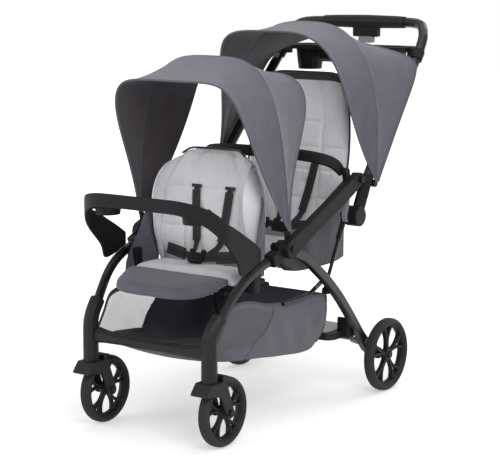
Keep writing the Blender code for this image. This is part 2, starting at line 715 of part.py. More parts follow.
def make_casters():
    """Forks with stem pins, front wheels, axle pins and swivel locks."""
    slot_half = FRONT_WHEEL_WIDTH / 2 + TYRE_CLEARANCE
    fork_half = slot_half + CHEEK_THICK
    axle_y = STEM_Y + CASTER_TRAIL
    axle_z = FRONT_WHEEL_RADIUS
    for name, side in SIDES:
        x = FRONT_TRACK * side
        # side view: front lip, crown, rear shoulder, then the leg down to the axle eye
        outline = [
            Vector((STEM_Y - 0.0455, 0.1590)), Vector((STEM_Y - 0.0445, 0.1660)),
            Vector((STEM_Y - 0.0240, CROWN_TOP_Z)), Vector((STEM_Y + 0.0290, CROWN_TOP_Z)),
            Vector((STEM_Y + 0.0400, 0.1830)), Vector((STEM_Y + 0.0470, 0.1700)),
        ]
        outline += arc((axle_y, axle_z), 0.0150, 20, -160, 8)
        outline += [Vector((STEM_Y + 0.0130, 0.1500)), Vector((STEM_Y - 0.0180, 0.1580))]
        fork = plate(outline, x - fork_half, x + fork_half, bevel=0.003)
        settle(fork)
        ear_outline = arc(LOCK_PIVOT, LOCK_EAR_RADIUS, 0, 180, 4)
        ear_outline += [Vector((LOCK_PIVOT.x - LOCK_EAR_RADIUS, CROWN_TOP_Z - 0.003)),
                        Vector((LOCK_PIVOT.x + LOCK_EAR_RADIUS, CROWN_TOP_Z - 0.003))]
        ears = [plate(ear_outline, x + s * (LOCK_HALF + GAP + 0.002) - 0.002, x + s * (LOCK_HALF + GAP + 0.002) + 0.002)
                for s in (-1, 1)]
        pin = cylinder_z(x, STEM_Y, STEM_PIN_RADIUS, CROWN_TOP_Z - 0.004, CROWN_TOP_Z + STEM_PIN_LENGTH, 12)
        fuse(fork, pin, *ears)
        slot = cylinder_x((axle_y, axle_z), FRONT_WHEEL_RADIUS + TYRE_CLEARANCE, x - slot_half, x + slot_half, 22)
        bore = cylinder_x((axle_y, axle_z), AXLE_RADIUS + BORE_FIT, x - 0.05, x + 0.05, 12)
        seat = block((x - LOCK_HALF - GAP, LOCK_PIVOT.x - 0.0075, LOCK_PIVOT.y - 0.0078),
                     (x + LOCK_HALF + GAP, LOCK_PIVOT.x + 0.012, LOCK_PIVOT.y + 0.02))
        cut(fork, slot, bore, seat)
        finish(fork, "caster_fork_" + name, "black_plastic", "caster_" + name)
        axle = cylinder_x((axle_y, axle_z), AXLE_RADIUS, x - fork_half - 0.0045, x + fork_half + 0.0045, 12)
        heads = [cylinder_x((axle_y, axle_z), 0.0095, x + s * (fork_half + GAP + 0.002) - 0.002,
                            x + s * (fork_half + GAP + 0.002) + 0.002, 12) for s in (-1, 1)]
        fuse(axle, *heads)
        finish(axle, "front_axle_" + name, "black_plastic", "caster_" + name)
        wheel("front_wheel_" + name, "front_wheel_" + name, FRONT_WHEEL_RADIUS, FRONT_WHEEL_WIDTH, x, axle_y, axle_z)
        make_swivel_lock(name, x)


def make_swivel_lock(name, x):
    """A flick lever on the crown behind the stem."""
    y, z = LOCK_PIVOT
    outline = arc((y, z), 0.0072, 90, 250, 5) + [Vector((y + 0.004, z - 0.0040)), Vector((y + 0.021, z + 0.0004)),
                                                Vector((y + 0.022, z + 0.0030)), Vector((y + 0.008, z + 0.0072))]
    lever = plate(outline, x - LOCK_HALF, x + LOCK_HALF)
    settle(lever)
    finish(lever, "swivel_lock_" + name, "black_plastic", "swivel_lock_" + name)


def rear_leg_outline():
    """Side view of a rear leg: an eye at the hub, the curved leg, a deeper foot and the axle eye."""
    foot = [Vector((0.262, 0.147)), Vector((0.288, 0.129))]
    path = [Vector(p) for p in REAR_LEG_PATH[1:-1]] + foot
    widths = [LEG_WIDTH] * (len(path) - 3) + [REAR_FOOT_WIDTH * 0.88] + [REAR_FOOT_WIDTH] * 2
    left, right = ribbon_edges(path, widths)
    start = (path[1] - path[0]).normalized()
    end = (path[-1] - path[-2]).normalized()
    first = math.degrees(math.atan2(start.y, start.x))
    last = math.degrees(math.atan2(end.y, end.x))
    axle = (REAR_AXLE_Y, REAR_WHEEL_RADIUS)
    around_axle = arc(axle, REAR_FOOT_WIDTH / 2, last + 80, last - 80, 5)
    around_hub = arc(HUB, REAR_HUB_RADIUS, first + 300, first + 60, 8)
    return left + around_axle + right[::-1] + around_hub


def make_rear_frame():
    """Rear legs with their wheel housings, platform, tie rod and basket tubes."""
    for name, side in SIDES:
        low, high = span(side, LEG_INNER_X, LEG_INNER_X + LEG_THICK)
        leg = plate(rear_leg_outline(), low, high, bevel=0.005)
        settle(leg)
        line = [(0.2270, 0.0330, 0.3820), (0.2150, 0.0130, 0.3620), (0.2130, -0.0150, 0.3490),
                (0.2130, -0.0500, 0.3460), (0.2130, -0.1500, 0.3440)]
        rail = tube(sided(smooth_path(line, 2), side), 0.0065, 1)
        boss = cylinder_x(STRUT_FOOT, 0.0090, *span(side, STRUT_FOOT_X + STRUT_FOOT_REACH + GAP, LEG_INNER_X + 0.004), 12)
        fuse(leg, rail, boss)
        holes = [
            cylinder_x(HUB, PIN_RADIUS + BORE_FIT, low - 0.02, high + 0.02, 12),
            cylinder_x((REAR_AXLE_Y, REAR_WHEEL_RADIUS), AXLE_RADIUS + BORE_FIT, low - 0.02, high + 0.02, 12),
            cylinder_x(TIE_ROD, TIE_ROD_RADIUS + BORE_FIT, *span(side, LEG_INNER_X - 0.01, LEG_INNER_X + 0.012), 12),
        ]
        cut(leg, *holes)
        finish(leg, "rear_leg_" + name, "black_paint", "rear_frame")
        x = REAR_TRACK * side
        half = REAR_WHEEL_WIDTH / 2
        axle = cylinder_x((REAR_AXLE_Y, REAR_WHEEL_RADIUS), AXLE_RADIUS,
                          *span(side, LEG_INNER_X - 0.004, REAR_TRACK + half), 12)
        cap = cylinder_x((REAR_AXLE_Y, REAR_WHEEL_RADIUS), 0.010,
                         *span(side, REAR_TRACK + RIM_WIDTH / 2 + 0.0015, REAR_TRACK + half), 12)
        inner_head = cylinder_x((REAR_AXLE_Y, REAR_WHEEL_RADIUS), 0.010,
                                *span(side, LEG_INNER_X - 0.004, LEG_INNER_X - GAP), 12)
        fuse(axle, cap, inner_head)
        finish(axle, "rear_axle_" + name, "black_plastic", "rear_frame")
        wheel("rear_wheel_" + name, "rear_wheel_" + name, REAR_WHEEL_RADIUS, REAR_WHEEL_WIDTH, x, REAR_AXLE_Y,
              REAR_WHEEL_RADIUS)
    make_platform()


def make_platform():
    """The standing platform: rounded tray with a grey deck, on brackets between the legs."""
    front, back = PLATFORM_Y
    top = PLATFORM_TOP_Z
    half = PLATFORM_HALF
    outline = [Vector((-half, back)), Vector((-half, front + 0.030))]
    outline += arc((-half + 0.030, front + 0.030), 0.030, 180, 270, 4)
    for k in range(1, 8):
        u = -1 + 2 * k / 8
        outline.append(Vector((u * (half - 0.030), front - 0.008 * (1 - u * u))))
    outline += arc((half - 0.030, front + 0.030), 0.030, 270, 360, 4)
    outline += [Vector((half, back))]
    base = plate(outline, top - PLATFORM_THICK, top - DECK_THICK - GAP, view=(0, 0, 0), bevel=0.003)
    settle(base)
    lugs = []
    for _, side in SIDES:
        low, high = span(side, PLATFORM_HALF - 0.020, LEG_INNER_X - GAP)
        path = [Vector((0.186, 0.178)), Vector((0.196, 0.240))]
        lug = plate([Vector((0.180, 0.1825)), Vector((0.226, 0.1825)), Vector((0.206, 0.2250)), Vector((0.192, 0.2420)),
                     Vector((0.180, 0.2420))], low, high, bevel=0.002, segments=1)
        settle(lug)
        lugs.append(lug)
    fuse(base, *lugs)
    finish(base, "standing_platform", "black_plastic", "rear_frame")
    deck_front = front + 0.010
    deck_half = half - 0.022
    deck_outline = [Vector((-deck_half, back - 0.008)), Vector((-deck_half, deck_front + 0.018))]
    deck_outline += arc((-deck_half + 0.018, deck_front + 0.018), 0.018, 180, 270, 3)
    deck_outline += arc((deck_half - 0.018, deck_front + 0.018), 0.018, 270, 360, 3)
    deck_outline += [Vector((deck_half, back - 0.008))]
    deck = plate(deck_outline, top - DECK_THICK, top, view=(0, 0, 0))
    finish(deck, "platform_deck", "deck_grey", "rear_frame")


def make_brakes():
    """The brake bar: a rod between the rear legs with a foot pedal at each end, turning about the rod."""
    reach = LEG_INNER_X + 0.010
    y, z = TIE_ROD
    bar = tube([(-reach, y, z), (reach, y, z)], TIE_ROD_RADIUS, 2)
    pedals = []
    for _, side in SIDES:
        low, high = span(side, 0.1980, LEG_INNER_X - GAP)
        outline = arc((y, z), 0.0090, 60, 250, 6) + [
            Vector((y + 0.030, z - 0.0220)), Vector((y + 0.066, z - 0.0240)), Vector((y + 0.074, z - 0.0190)),
            Vector((y + 0.066, z - 0.0150)), Vector((y + 0.030, z - 0.0100))]
        pedals.append(plate(outline, low, high))
    fuse(bar, *pedals)
    finish(bar, "brake_bar", "grey_plastic", "brake")


def handle_loop(radius):
    """A tube of the asked radius on the handle's whole centre line."""
    left = list(HANDLE_PATH)
    right = [Vector((-p.x, p.y, p.z)) for p in reversed(left[:-1])]
    return tube([*left, *right], radius, 2)


def make_handle():
    """Handle tube, hub castings, grip, trigger, latch levers and pivots."""
    left = list(HANDLE_PATH)
    loop = handle_loop(HANDLE_RADIUS)
    finish(loop, "handle_tube", "black_paint", "handle")
    for name, side in SIDES:
        line = [(HANDLE_LOW_X * side, 0.1600, 0.5750), (HANDLE_LOW_X * side, 0.1842, HANDLE_KNEE_Z),
                *[(HANDLE_LOW_X * side, *p.yz) for p in (HANDLE_PATH[2], along_handle(0.2130))]]
        casting = tube(line, SLEEVE_RADIUS, 2)
        drum = cylinder_x(STRUT_PIVOT, STRUT_HUB_RADIUS, *span(side, *STRUT_HUB_X), 16)
        round_edges(drum, 0.003, 1)
        settle(drum)
        ear_outline = arc(HANDLE_PIVOT, BAR_END_RADIUS - 0.0005, 6, 300, 9)
        ear_outline += [Vector((0.1860, 0.6330)), Vector((0.2040, 0.6600)), Vector((0.2050, 0.6675))]
        ear = plate(ear_outline, *span(side, *EAR_X))
        clip = cylinder_x(REAR_CANOPY_TIP, CLIP_RADIUS, *span(side, 0.2760, 0.2887), 10)
        fuse(casting, drum, ear, clip)
        bore = handle_loop(HANDLE_RADIUS + BORE_FIT)
        pin_hole = cylinder_x(HANDLE_PIVOT, PIN_RADIUS + BORE_FIT, *span(side, 0.24, 0.27), 12)
        cut(casting, bore, pin_hole)
        pin = cylinder_x(STRUT_PIVOT, PIN_RADIUS, *span(side, STRUT_TOP_X - 0.0115, 0.2500), 12)
        head = cylinder_x(STRUT_PIVOT, 0.009, *span(side, STRUT_TOP_X - 0.0125, STRUT_TOP_X - 0.0093), 12)
        fuse(casting, pin, head)
        finish(casting, "handle_hub_" + name, "black_plastic", "handle")
        finish(latch(side), "latch_lever_" + name, "grey_plastic", "latches")
    make_grip(left)
    make_pivots()


def latch(side):
    """The grey finger lever in front of the hub drum."""
    outline = arc(STRUT_PIVOT, STRUT_HUB_RADIUS + GAP, 212, 142, 6)
    outline += [Vector((0.1300, 0.6000)), Vector((0.1310, 0.6140)), Vector((0.1270, 0.6190)), Vector((0.1205, 0.6160)),
                Vector((0.1120, 0.5980)), Vector((0.1065, 0.5800)), Vector((0.1060, 0.5620)), Vector((0.1110, 0.5460))]
    low, high = span(side, 0.2440, 0.2560)
    lever = plate(outline, low, high)
    return settle(lever)


def make_grip(left):
    """Foam grip over the top of the handle, with the trigger housing and trigger under its middle."""
    inside = [p for p in left if p.x < GRIP_HALF_LENGTH]
    outside = left[len(left) - len(inside) - 1]
    share = (GRIP_HALF_LENGTH - inside[0].x) / (outside.x - inside[0].x)
    half = [inside[0].lerp(outside, share), *inside]
    line = [*half, *[Vector((-p.x, p.y, p.z)) for p in reversed(half[:-1])]]
    swell = [1 + GRIP_SWELL * math.cos(math.pi * p.x / (2 * GRIP_HALF_LENGTH)) ** 2 for p in line]
    swell[0] = swell[-1] = 0.94
    grip = tube(line, HANDLE_RADIUS + GRIP_WALL, 2, swell)
    bore = handle_loop(HANDLE_RADIUS + GAP)
    cut(grip, bore)
    finish(grip, "handle_grip", "foam", "handle")
    housing = block((-0.046, HANDLE_BACK_Y - 0.0130, TRIGGER_TOP_Z - 0.0080),
                    (0.046, HANDLE_BACK_Y + 0.0130, HANDLE_TOP_Z - 0.0120), 0.004)
    settle(housing)
    around = tube(line, HANDLE_RADIUS + GRIP_WALL + GAP, 2, [s if 0 < k < len(swell) - 1 else 1.0
                                                           for k, s in enumerate(swell)])
    pocket = block((-0.0275, HANDLE_BACK_Y - 0.0105, TRIGGER_TOP_Z - 0.012),
                   (0.0275, HANDLE_BACK_Y + 0.0105, TRIGGER_TOP_Z + 0.0085))
    cut(housing, around, pocket)
    finish(housing, "trigger_housing", "black_plastic", "handle")
    trigger = block((-0.0270, HANDLE_BACK_Y - 0.0100, TRIGGER_TOP_Z - 0.0270),
                    (0.0270, HANDLE_BACK_Y + 0.0100, TRIGGER_TOP_Z), 0.0035)
    settle(trigger)
    finish(trigger, "fold_trigger", "grey_plastic", "fold_trigger")


def make_pivots():
    """Headed pins of the hub and of the handle."""
    for name, side in SIDES:
        bolt = cylinder_x(HUB, PIN_RADIUS, *span(side, SEAT_EYE_X - 0.008, BAR_OUTER_X + 0.0015), 12)
        outer = cylinder_x(HUB, 0.010, *span(side, BAR_OUTER_X + GAP, BAR_OUTER_X + 0.004), 12)
        inner = cylinder_x(HUB, 0.009, *span(side, SEAT_EYE_X - 0.0105, SEAT_EYE_X - 0.007 - GAP), 12)
        finish(fuse(bolt, outer, inner), "hub_bolt_" + name, "black_plastic")
        bolt = cylinder_x(HANDLE_PIVOT, PIN_RADIUS, *span(side, EAR_X[0] - 0.004, BAR_OUTER_X + 0.002), 12)
        outer = cylinder_x(HANDLE_PIVOT, 0.011, *span(side, BAR_OUTER_X + GAP, BAR_OUTER_X + 0.008), 12)
        inner = cylinder_x(HANDLE_PIVOT, 0.009, *span(side, EAR_X[0] - 0.004, EAR_X[0] - GAP), 12)
        finish(fuse(bolt, outer, inner), "handle_bolt_" + name, "black_plastic")


def make_struts():
    """A tube in a sleeve on each side, from the hub drum to the rear leg's inner face."""
    for name, side in SIDES:
        top = Vector((STRUT_TOP_X * side, *STRUT_PIVOT))
        foot = Vector((STRUT_FOOT_X * side, *STRUT_FOOT))
        down = (foot - top).normalized()
        rod = tube([top + down * 0.030, foot - down * 0.004], STRUT_RADIUS, 2)
        sleeve = tube([top + down * 0.008, top + down * STRUT_SLEEVE_LENGTH], STRUT_SLEEVE_RADIUS, 2)
        eye = cylinder_x(STRUT_PIVOT, 0.0130, *span(side, STRUT_TOP_X - 0.0090, STRUT_TOP_X + 0.0097), 12)
        foot_eye = cylinder_x(STRUT_FOOT, 0.0090, *span(side, STRUT_FOOT_X - 0.0040, STRUT_FOOT_X + STRUT_FOOT_REACH), 14)
        fuse(rod, sleeve, eye, foot_eye)
        hole = cylinder_x(STRUT_PIVOT, PIN_RADIUS + BORE_FIT, *span(side, 0.20, 0.26), 12)
        cut(rod, hole)
        finish(rod, "strut_" + name, "black_paint", "struts")


def rounded_outline(half_x, y_low, y_high, corner, steps=3):
    """A rectangle with round corners in plan."""
    loop = []
    for index, (sx, y) in enumerate(((1, y_high), (-1, y_high), (-1, y_low), (1, y_low))):
        sy = 1 if y == y_high else -1
        loop += arc((sx * (half_x - corner), y - sy * corner), corner, 90 * index, 90 * index + 90, steps)
    return loop


def make_parent_tray():
    """Tray between the handle tubes with two cup wells and a middle well, and its clamps."""
    low_y, high_y = PARENT_TRAY_Y
    top = PARENT_TRAY_TOP_Z
    middle_y = (low_y + high_y) / 2
    tray = plate(rounded_outline(PARENT_TRAY_HALF, low_y, high_y, 0.045), top - 0.014, top, view=(0, 0, 0))
    wells = []
    for _, side in SIDES:
        wells.append(cylinder_z(PARENT_CUP_X * side, middle_y, CUP_RADIUS, top - PARENT_CUP_DEPTH - TRAY_WALL,
                                top - 0.003, 13, CUP_RADIUS + 2 * TRAY_WALL))
    box = block((-0.092, low_y + 0.012, top - 0.052), (0.092, high_y - 0.012, top - 0.004), 0.010)
    settle(box)
    fuse(tray, box, *wells)
    pockets = []
    for _, side in SIDES:
        pockets.append(cylinder_z(PARENT_CUP_X * side, middle_y, CUP_RADIUS - TRAY_WALL, top - PARENT_CUP_DEPTH,
                                  top + 0.003, 13, CUP_RADIUS + TRAY_WALL))
    inside = block((-0.086, low_y + 0.018, top - 0.048), (0.086, high_y - 0.018, top + 0.01), 0.006)
    settle(inside)
    cut(tray, inside, *pockets)
    for _, side in SIDES:
        ends = [along_handle(handle_y_at(top - drop)) for drop in (0.0365, 0.0120)]
        ring_line = [(p.x * side, p.y, p.z) for p in ends]
        ring = tube(ring_line, HANDLE_RADIUS + 0.004, 2)
        low, high = span(side, 0.2180, 0.2440)
        ear_y = handle_y_at(top - 0.018)
        ear = block((low, ear_y - 0.011, top - 0.030), (high, ear_y + 0.011, top - 0.006))
        fuse(ring, ear)
        cut(ring, handle_loop(HANDLE_RADIUS + GAP))
        fuse(tray, ring)
    finish(tray, "parent_tray", "black_plastic", "handle")


def make_child_tray():
    """Tray in front of the child: a shallow pan with two cup wells, on two swept arms."""
    front = CHILD_TRAY_FRONT_Y
    top = CHILD_TRAY_TOP_Z
    half = CHILD_TRAY_HALF
    back = front + CHILD_TRAY_DEPTH
    corner = TRAY_CORNER
    outline = arc((-half + corner, front + corner), corner, 180, 270, 5)
    outline += arc((half - corner, front + corner), corner, 270, 360, 5)
    outline += [Vector((half, back - 0.020)), Vector((half - 0.020, back))]
    for k in range(5):
        u = 1 - 2 * k / 4
        outline.append(Vector((u * (half - 0.070), back - 0.030 * (1 - u * u) - 0.004)))
    outline += [Vector((-half + 0.020, back)), Vector((-half, back - 0.020))]
    pan = plate(outline, top - CHILD_TRAY_BAND, top, view=(0, 0, 0))
    cup_y = front + 0.064
    wells = [cylinder_z(CHILD_CUP_X * s, cup_y, CUP_RADIUS, top - CUP_DEPTH - 0.004, top - 0.010, 14, CUP_RADIUS + 0.005)
             for _, s in SIDES]
    hollow_outline = [Vector((p.x * 0.962, (p.y - front) * 0.90 + front + 0.005)) for p in outline]
    under = plate(hollow_outline, top - 0.08, top - 0.013, view=(0, 0, 0))
    cut(pan, under)
    fuse(pan, *wells)
    floor_outline = [Vector((p.x * 0.972, (p.y - front) * 0.92 + front + 0.0045)) for p in outline]
    dish = plate(floor_outline, top - 0.0095, top + 0.01, view=(0, 0, 0))
    cups = [cylinder_z(CHILD_CUP_X * s, cup_y, CUP_RADIUS - TRAY_WALL, top - CUP_DEPTH, top + 0.01, 14,
                       CUP_RADIUS + 0.003) for _, s in SIDES]
    cut(pan, dish, *cups)
    # the band leaves the tray's rim at each corner and falls back to the leg
    top_edge = [Vector((front, top + 0.001)), Vector((-0.5050, top - 0.0240)), Vector((-0.4470, top - 0.0610)),
                Vector((-0.3940, top - 0.0880)), Vector((-0.3420, top - 0.1180)), Vector((-0.2955, top - 0.1480))]
    for _, side in SIDES:
        high_x = half - GAP
        lift = 0.0 if side > 0 else TRAY_SWING_LIFT
        low, high = span(side, high_x - TRAY_ARM_THICK, high_x)
        above = plate([*top_edge[:3], Vector((back + 0.03, top - 0.0860)), Vector((back + 0.03, top + 0.02)),
                       Vector((front, top + 0.02))], *span(side, half - 0.042, half + 0.01))
        cut(pan, above)
        centre = Vector(((half - corner) * side, front + corner))
        turn = (292, 360) if side > 0 else (180, 248)
        inner = arc(centre, corner - TRAY_ARM_THICK - 0.0010, turn[1], turn[0], 4)
        wall = plate(arc(centre, corner - 5 * GAP, *turn, 4) + inner, 0.5605, top - 0.0010, view=(0, 0, 0))
        below = plate([Vector((front - 0.01, top - CHILD_TRAY_BAND)), Vector((-0.5240, 0.6240)), Vector((-0.4900, 0.5890)),
                       Vector((-0.4400, 0.5480)), Vector((-0.4400, 0.5400)), Vector((front - 0.01, 0.5400))],
                      *span(side, 0.10, half + 0.01))
        over = plate([*top_edge[:3], Vector((-0.4300, top - 0.0700)), Vector((-0.4300, top + 0.02)),
                      Vector((front, top + 0.02))], *span(side, 0.10, half + 0.01))
        cut(wall, below, over)
        arm_outline = [
            Vector((-0.4530, 0.5575)), Vector((-0.4200, 0.5240)), Vector((-0.4000, 0.5010)), Vector((-0.3910, 0.4870)),
            Vector((-0.3890, 0.4650)), Vector((-0.3720, 0.4640)), Vector((-0.3560, 0.4690)),
            Vector((-0.3380, 0.4698 + lift)), Vector((-0.3180, 0.4792 + lift)), Vector((-0.2990, 0.4866 + lift)),
            *top_edge[:2:-1], Vector((-0.4530, top - 0.0590)),
        ]
        fuse(pan, wall, plate(arm_outline, low, high))
    finish(pan, "child_tray", "black_plastic", "child_tray")


def make_belly_bar():
    """Flat padded band in front of the rear child, in two mounts inside the side bars."""
    left = [(0.2330, 0.1180, 0.6900), (0.2330, 0.1080, 0.6995), (0.2260, 0.0900, 0.7150), (0.2080, 0.0700, 0.7270),
            (0.1750, 0.0560, 0.7345), (0.1200, 0.0480, 0.7390), (0.0600, 0.0450, 0.7405), (0.0, 0.0440, 0.7410)]
    path = smooth_path(left, 2)
    path = [*path, *[Vector((-p.x, p.y, p.z)) for p in reversed(path[:-1])]]
    bar = band_along(path, rounded_section(0.0065, 0.0165, 0.005, 1))
    finish(bar, "belly_bar", "black_plastic", "belly_bar")


def bow(spec, tip, tip_half, steps=CANOPY_STEPS):
    """Points of one canopy bow: a squared arch in a plane that leans with the height.

    r = (|cos a / reach|^n + |sin a / half|^n)^(-1/n), x = r sin a, rho = r cos a, and the plane's angle
    goes from the apex value to the side value. Near the tips the arch widens to the hinge clips.
    """
    points = []
    n = spec["square"]
    for k in range(steps + 1):
        a = math.radians(-88.5 + 177 * k / steps)
        r = (abs(math.cos(a) / spec["reach"]) ** n + abs(math.sin(a) / spec["half"]) ** n) ** (-1 / n)
        x, rho = r * math.sin(a), r * math.cos(a)
        share = abs(x) / spec["half"]
        low = max(0.0, 1 - rho / spec["reach"]) ** 1.3
        x += math.copysign((tip_half - spec["half"]) * low * share, a)
        lean = math.radians(spec["apex"] + (spec["side"] - spec["apex"]) * share ** max(4, spec["square"]))
        points.append(Vector((x, tip.x + rho * math.cos(lean), tip.y + rho * math.sin(lean))))
    return points


def canopy_panel(name, body, first, second, tip, tip_half, rows=3, droop=0.004):
    """Cloth from one bow to the next, sagging a little between them, as a shell."""
    a, b = bow(first, tip, tip_half), bow(second, tip, tip_half)
    bm = bmesh.new()
    grid = []
    for r in range(rows + 1):
        line = []
        for p, q in zip(a, b):
            length = (q - p).length
            t = CANOPY_SEAM / length + (1 - 2 * CANOPY_SEAM / length) * r / rows
            point = p.lerp(q, t)
            inward = Vector((0, tip.x, tip.y)) - point
            inward.x = -point.x * 0.6
            point += inward.normalized() * droop * math.sin(math.pi * t) * min(length / 0.15, 1)
            line.append(bm.verts.new(point))
        grid.append(line)
    for low, high in zip(grid, grid[1:]):
        for k in range(len(low) - 1):
            bm.faces.new((low[k], low[k + 1], high[k + 1], high[k]))
    panel = mesh_object(bm)
    shell = panel.modifiers.new("cloth", "SOLIDIFY")
    shell.thickness = FABRIC
    shell.offset = 0
    settle(panel)
    finish(panel, name, "slate_fabric", body, 60)


def make_canopies():
    """Both canopies: two cloth panels each, with their bows sewn in."""
    sets = (
        ("front_canopy", FRONT_CANOPY_BOWS, FRONT_CANOPY_TIP, FRONT_CANOPY_TIP_X, None),
        ("rear_canopy", REAR_CANOPY_BOWS, REAR_CANOPY_TIP, REAR_CANOPY_TIP_X, "handle"),
    )
    for name, bows, tip, tip_half, base in sets:
        canopy_panel(name + "_front_panel", name, bows[0], bows[1], tip, tip_half)
        canopy_panel(name + "_rear_panel", base, bows[1], bows[2], tip, tip_half)


def cushion(points_low, points_high, half, thick, normal_side, rows=12, columns=14, channels=(), rounding=0.5,
            narrow=0.0, crown=0.5, curl=0.0):
    """A closed pad on a straight side-view line from points_low to points_high.

    The outline is a rounded rectangle, the face crowns with 1 - u^4, and channels are sewn grooves.
    """
    bm = bmesh.new()
    low, high = Vector(points_low), Vector(points_high)
    along = high - low
    across = Vector((-along.y, along.x)).normalized() * normal_side
    faces = []
    for level in (0, 1):
        grid = []
        for r in range(rows + 1):
            v = -1 + 2 * r / rows
            row = []
            for c in range(columns + 1):
                u = -1 + 2 * c / columns
                squeeze = 1 - rounding * 0.12 * v ** 8
                taper = 1 - narrow * max(0, v) ** 2
                x = u * half * squeeze * taper
                t = (v * (1 - rounding * 0.04 * u ** 8) + 1) / 2
                edge = max(abs(u), abs(v))
                full = crown + (1 - crown) * (1 - u ** 6) * (1 - v ** 6)
                full *= 1 - 0.55 * max(0, (edge - 0.93) / 0.07)
                groove = 0
                for axis, place, depth in channels:
                    value = u if axis == "u" else v
                    groove = max(groove, depth * math.exp(-((value - place) / 0.045) ** 2))
                bend = curl * max(0, abs(u) - 0.45) ** 1.6 / 0.55 ** 1.6 * min(1, max(0, (v + 0.82) / 0.35))
                height = thick * (full - groove) + bend if level else bend
                middle = low + along * t + across * height
                row.append(bm.verts.new((x, middle.x, middle.y)))
            grid.append(row)
        faces.append(grid)
    bottom, top = faces
    for a, b in zip(top, top[1:]):
        for k in range(columns):
            bm.faces.new((a[k], a[k + 1], b[k + 1], b[k]))
    border = [(0, c) for c in range(columns + 1)] + [(r, columns) for r in range(1, rows + 1)]
    border += [(rows, c) for c in range(columns - 1, -1, -1)] + [(r, 0) for r in range(rows - 1, 0, -1)]
    for (r0, c0), (r1, c1) in zip(border, border[1:] + border[:1]):
        bm.faces.new((bottom[r0][c0], bottom[r1][c1], top[r1][c1], top[r0][c0]))
    bm.faces.new([bottom[r][c] for r, c in reversed(border)])
    bmesh.ops.delete(bm, geom=[v for v in bm.verts if not v.link_faces], context="VERTS")
    return mesh_object(bm)


def seat_board(y_range, z, half, thick=BOARD_THICK):
    """A thin moulded seat board with round corners."""
    board = plate(rounded_outline(half, y_range[0], y_range[1], 0.030), z - thick, z, view=(0, 0, 0))
    return settle(board)


STRAP_HALF = 0.0125
HARNESS_THICK = 0.004
WAIST_PAD_HALF = 0.016
WAIST_PAD_THICK = 0.007
BUCKLE_HALF = Vector((0.026, 0.014, 0.0075))


def make_front_seat():
    """Front seat: frame tube, board, cushion, padded lip, backrest and wings."""
    y0, y1 = FRONT_SEAT_Y
    z = FRONT_SEAT_Z
    frame_z = z - BOARD_THICK - 0.0085 - GAP
    half = FRONT_SEAT_HALF - 0.004
    line = [(half, y1 + 0.030, frame_z), (half, y0 + 0.010, frame_z)]
    line += [(half - 0.012, y0 - 0.008, frame_z - 0.002), (half - 0.040, y0 - 0.016, frame_z - 0.003),
             (0, y0 - 0.018, frame_z - 0.004)]
    path = smooth_path(line, 2)
    path = [*path, *[Vector((-p.x, p.y, p.z)) for p in reversed(path[:-1])]]
    frame_tube = tube(path, 0.008, 1)
    mounts = []
    for _, side in SIDES:
        low, high = span(side, half + 0.005, 0.2238)
        mounts.append(block((low, -0.302, frame_z - 0.004), (high, -0.272, 0.482), 0.003))
    board = seat_board((y0 + 0.001, y1 + 0.035), z, FRONT_SEAT_HALF, BOARD_THICK + 0.005)
    fuse(board, frame_tube, *[settle(m) for m in mounts])
    finish(board, "front_seat_base", "black_plastic")
    pad = cushion((y0 + 0.002, z + GAP), (y1 + 0.0005, z + GAP), FRONT_SEAT_HALF - 0.003, SEAT_PAD_THICK, 1, 6, 12,
                  channels=(("u", -0.42, 0.25), ("u", 0.42, 0.25)))
    finish(pad, "front_seat_pad", "light_fabric", smooth_angle=60)
    lip = lip_pad(y0, z)
    finish(lip, "front_seat_lip", "slate_fabric", smooth_angle=60)
    pad = cushion(FRONT_BACK_FOOT, FRONT_BACK_TOP, FRONT_BACK_HALF, BACK_PAD_THICK, 1, 14,
                  12, channels=(("u", -0.38, 0.25), ("u", 0.38, 0.25), ("v", 0.28, 0.18)), narrow=0.42, rounding=1.0, curl=0.030)
    finish(pad, "front_backrest", "light_fabric", "front_backrest", 60)
    make_harness("front_harness", "front_backrest", FRONT_BACK_FOOT, FRONT_BACK_TOP, 0.0,
                 ((0.0585, 0.690, 0.0263), (0.055, 0.55, 0.0264), (0.047, 0.36, 0.0266), (0.040, 0.20, 0.0275),
                  (0.020, 0.120, 0.052)),
                 ((0.016, 0.128, 0.060), (0.045, 0.140, 0.048), (0.090, 0.150, 0.038), (0.135, 0.160, 0.0375)),
                 (0.0, 0.128, 0.064))


def lip_pad(y0, z):
    """The padded front lip: a D-shaped slab that falls forwards over the seat's front edge."""
    rings = []
    columns = 14
    for c in range(columns + 1):
        u = -1 + 2 * c / columns
        round_off = (1 - abs(u) ** 5)
        x = u * (FRONT_TRACK - 0.003)
        reach = 0.052 + 0.032 * round_off
        back_y = y0 + 0.002 - 1.5 * GAP
        top_z = z + 0.026
        drop = 0.062 * (0.75 + 0.25 * round_off)
        thick = 0.010 + 0.014 * round_off
        section = []
        for k in range(7):
            s = k / 6
            section.append(Vector((back_y - reach * s, top_z - 0.010 * round_off * 0 - drop * s ** 1.8)))
        lower = []
        for k in range(6, -1, -1):
            slope = Vector((-reach, -drop * 1.8 * max(k / 6, 0.05) ** 0.8)).normalized()
            full = thick * (0.55 + 0.45 * math.sin(math.pi * min(k / 6 + 0.25, 1)))
            under = section[k] + Vector((-slope.y, slope.x)) * full
            lower.append(Vector((min(under.x, back_y), under.y)))
        rings.append([Vector((x, p.x, p.y)) for p in section + lower])
    return section_sweep(rings)


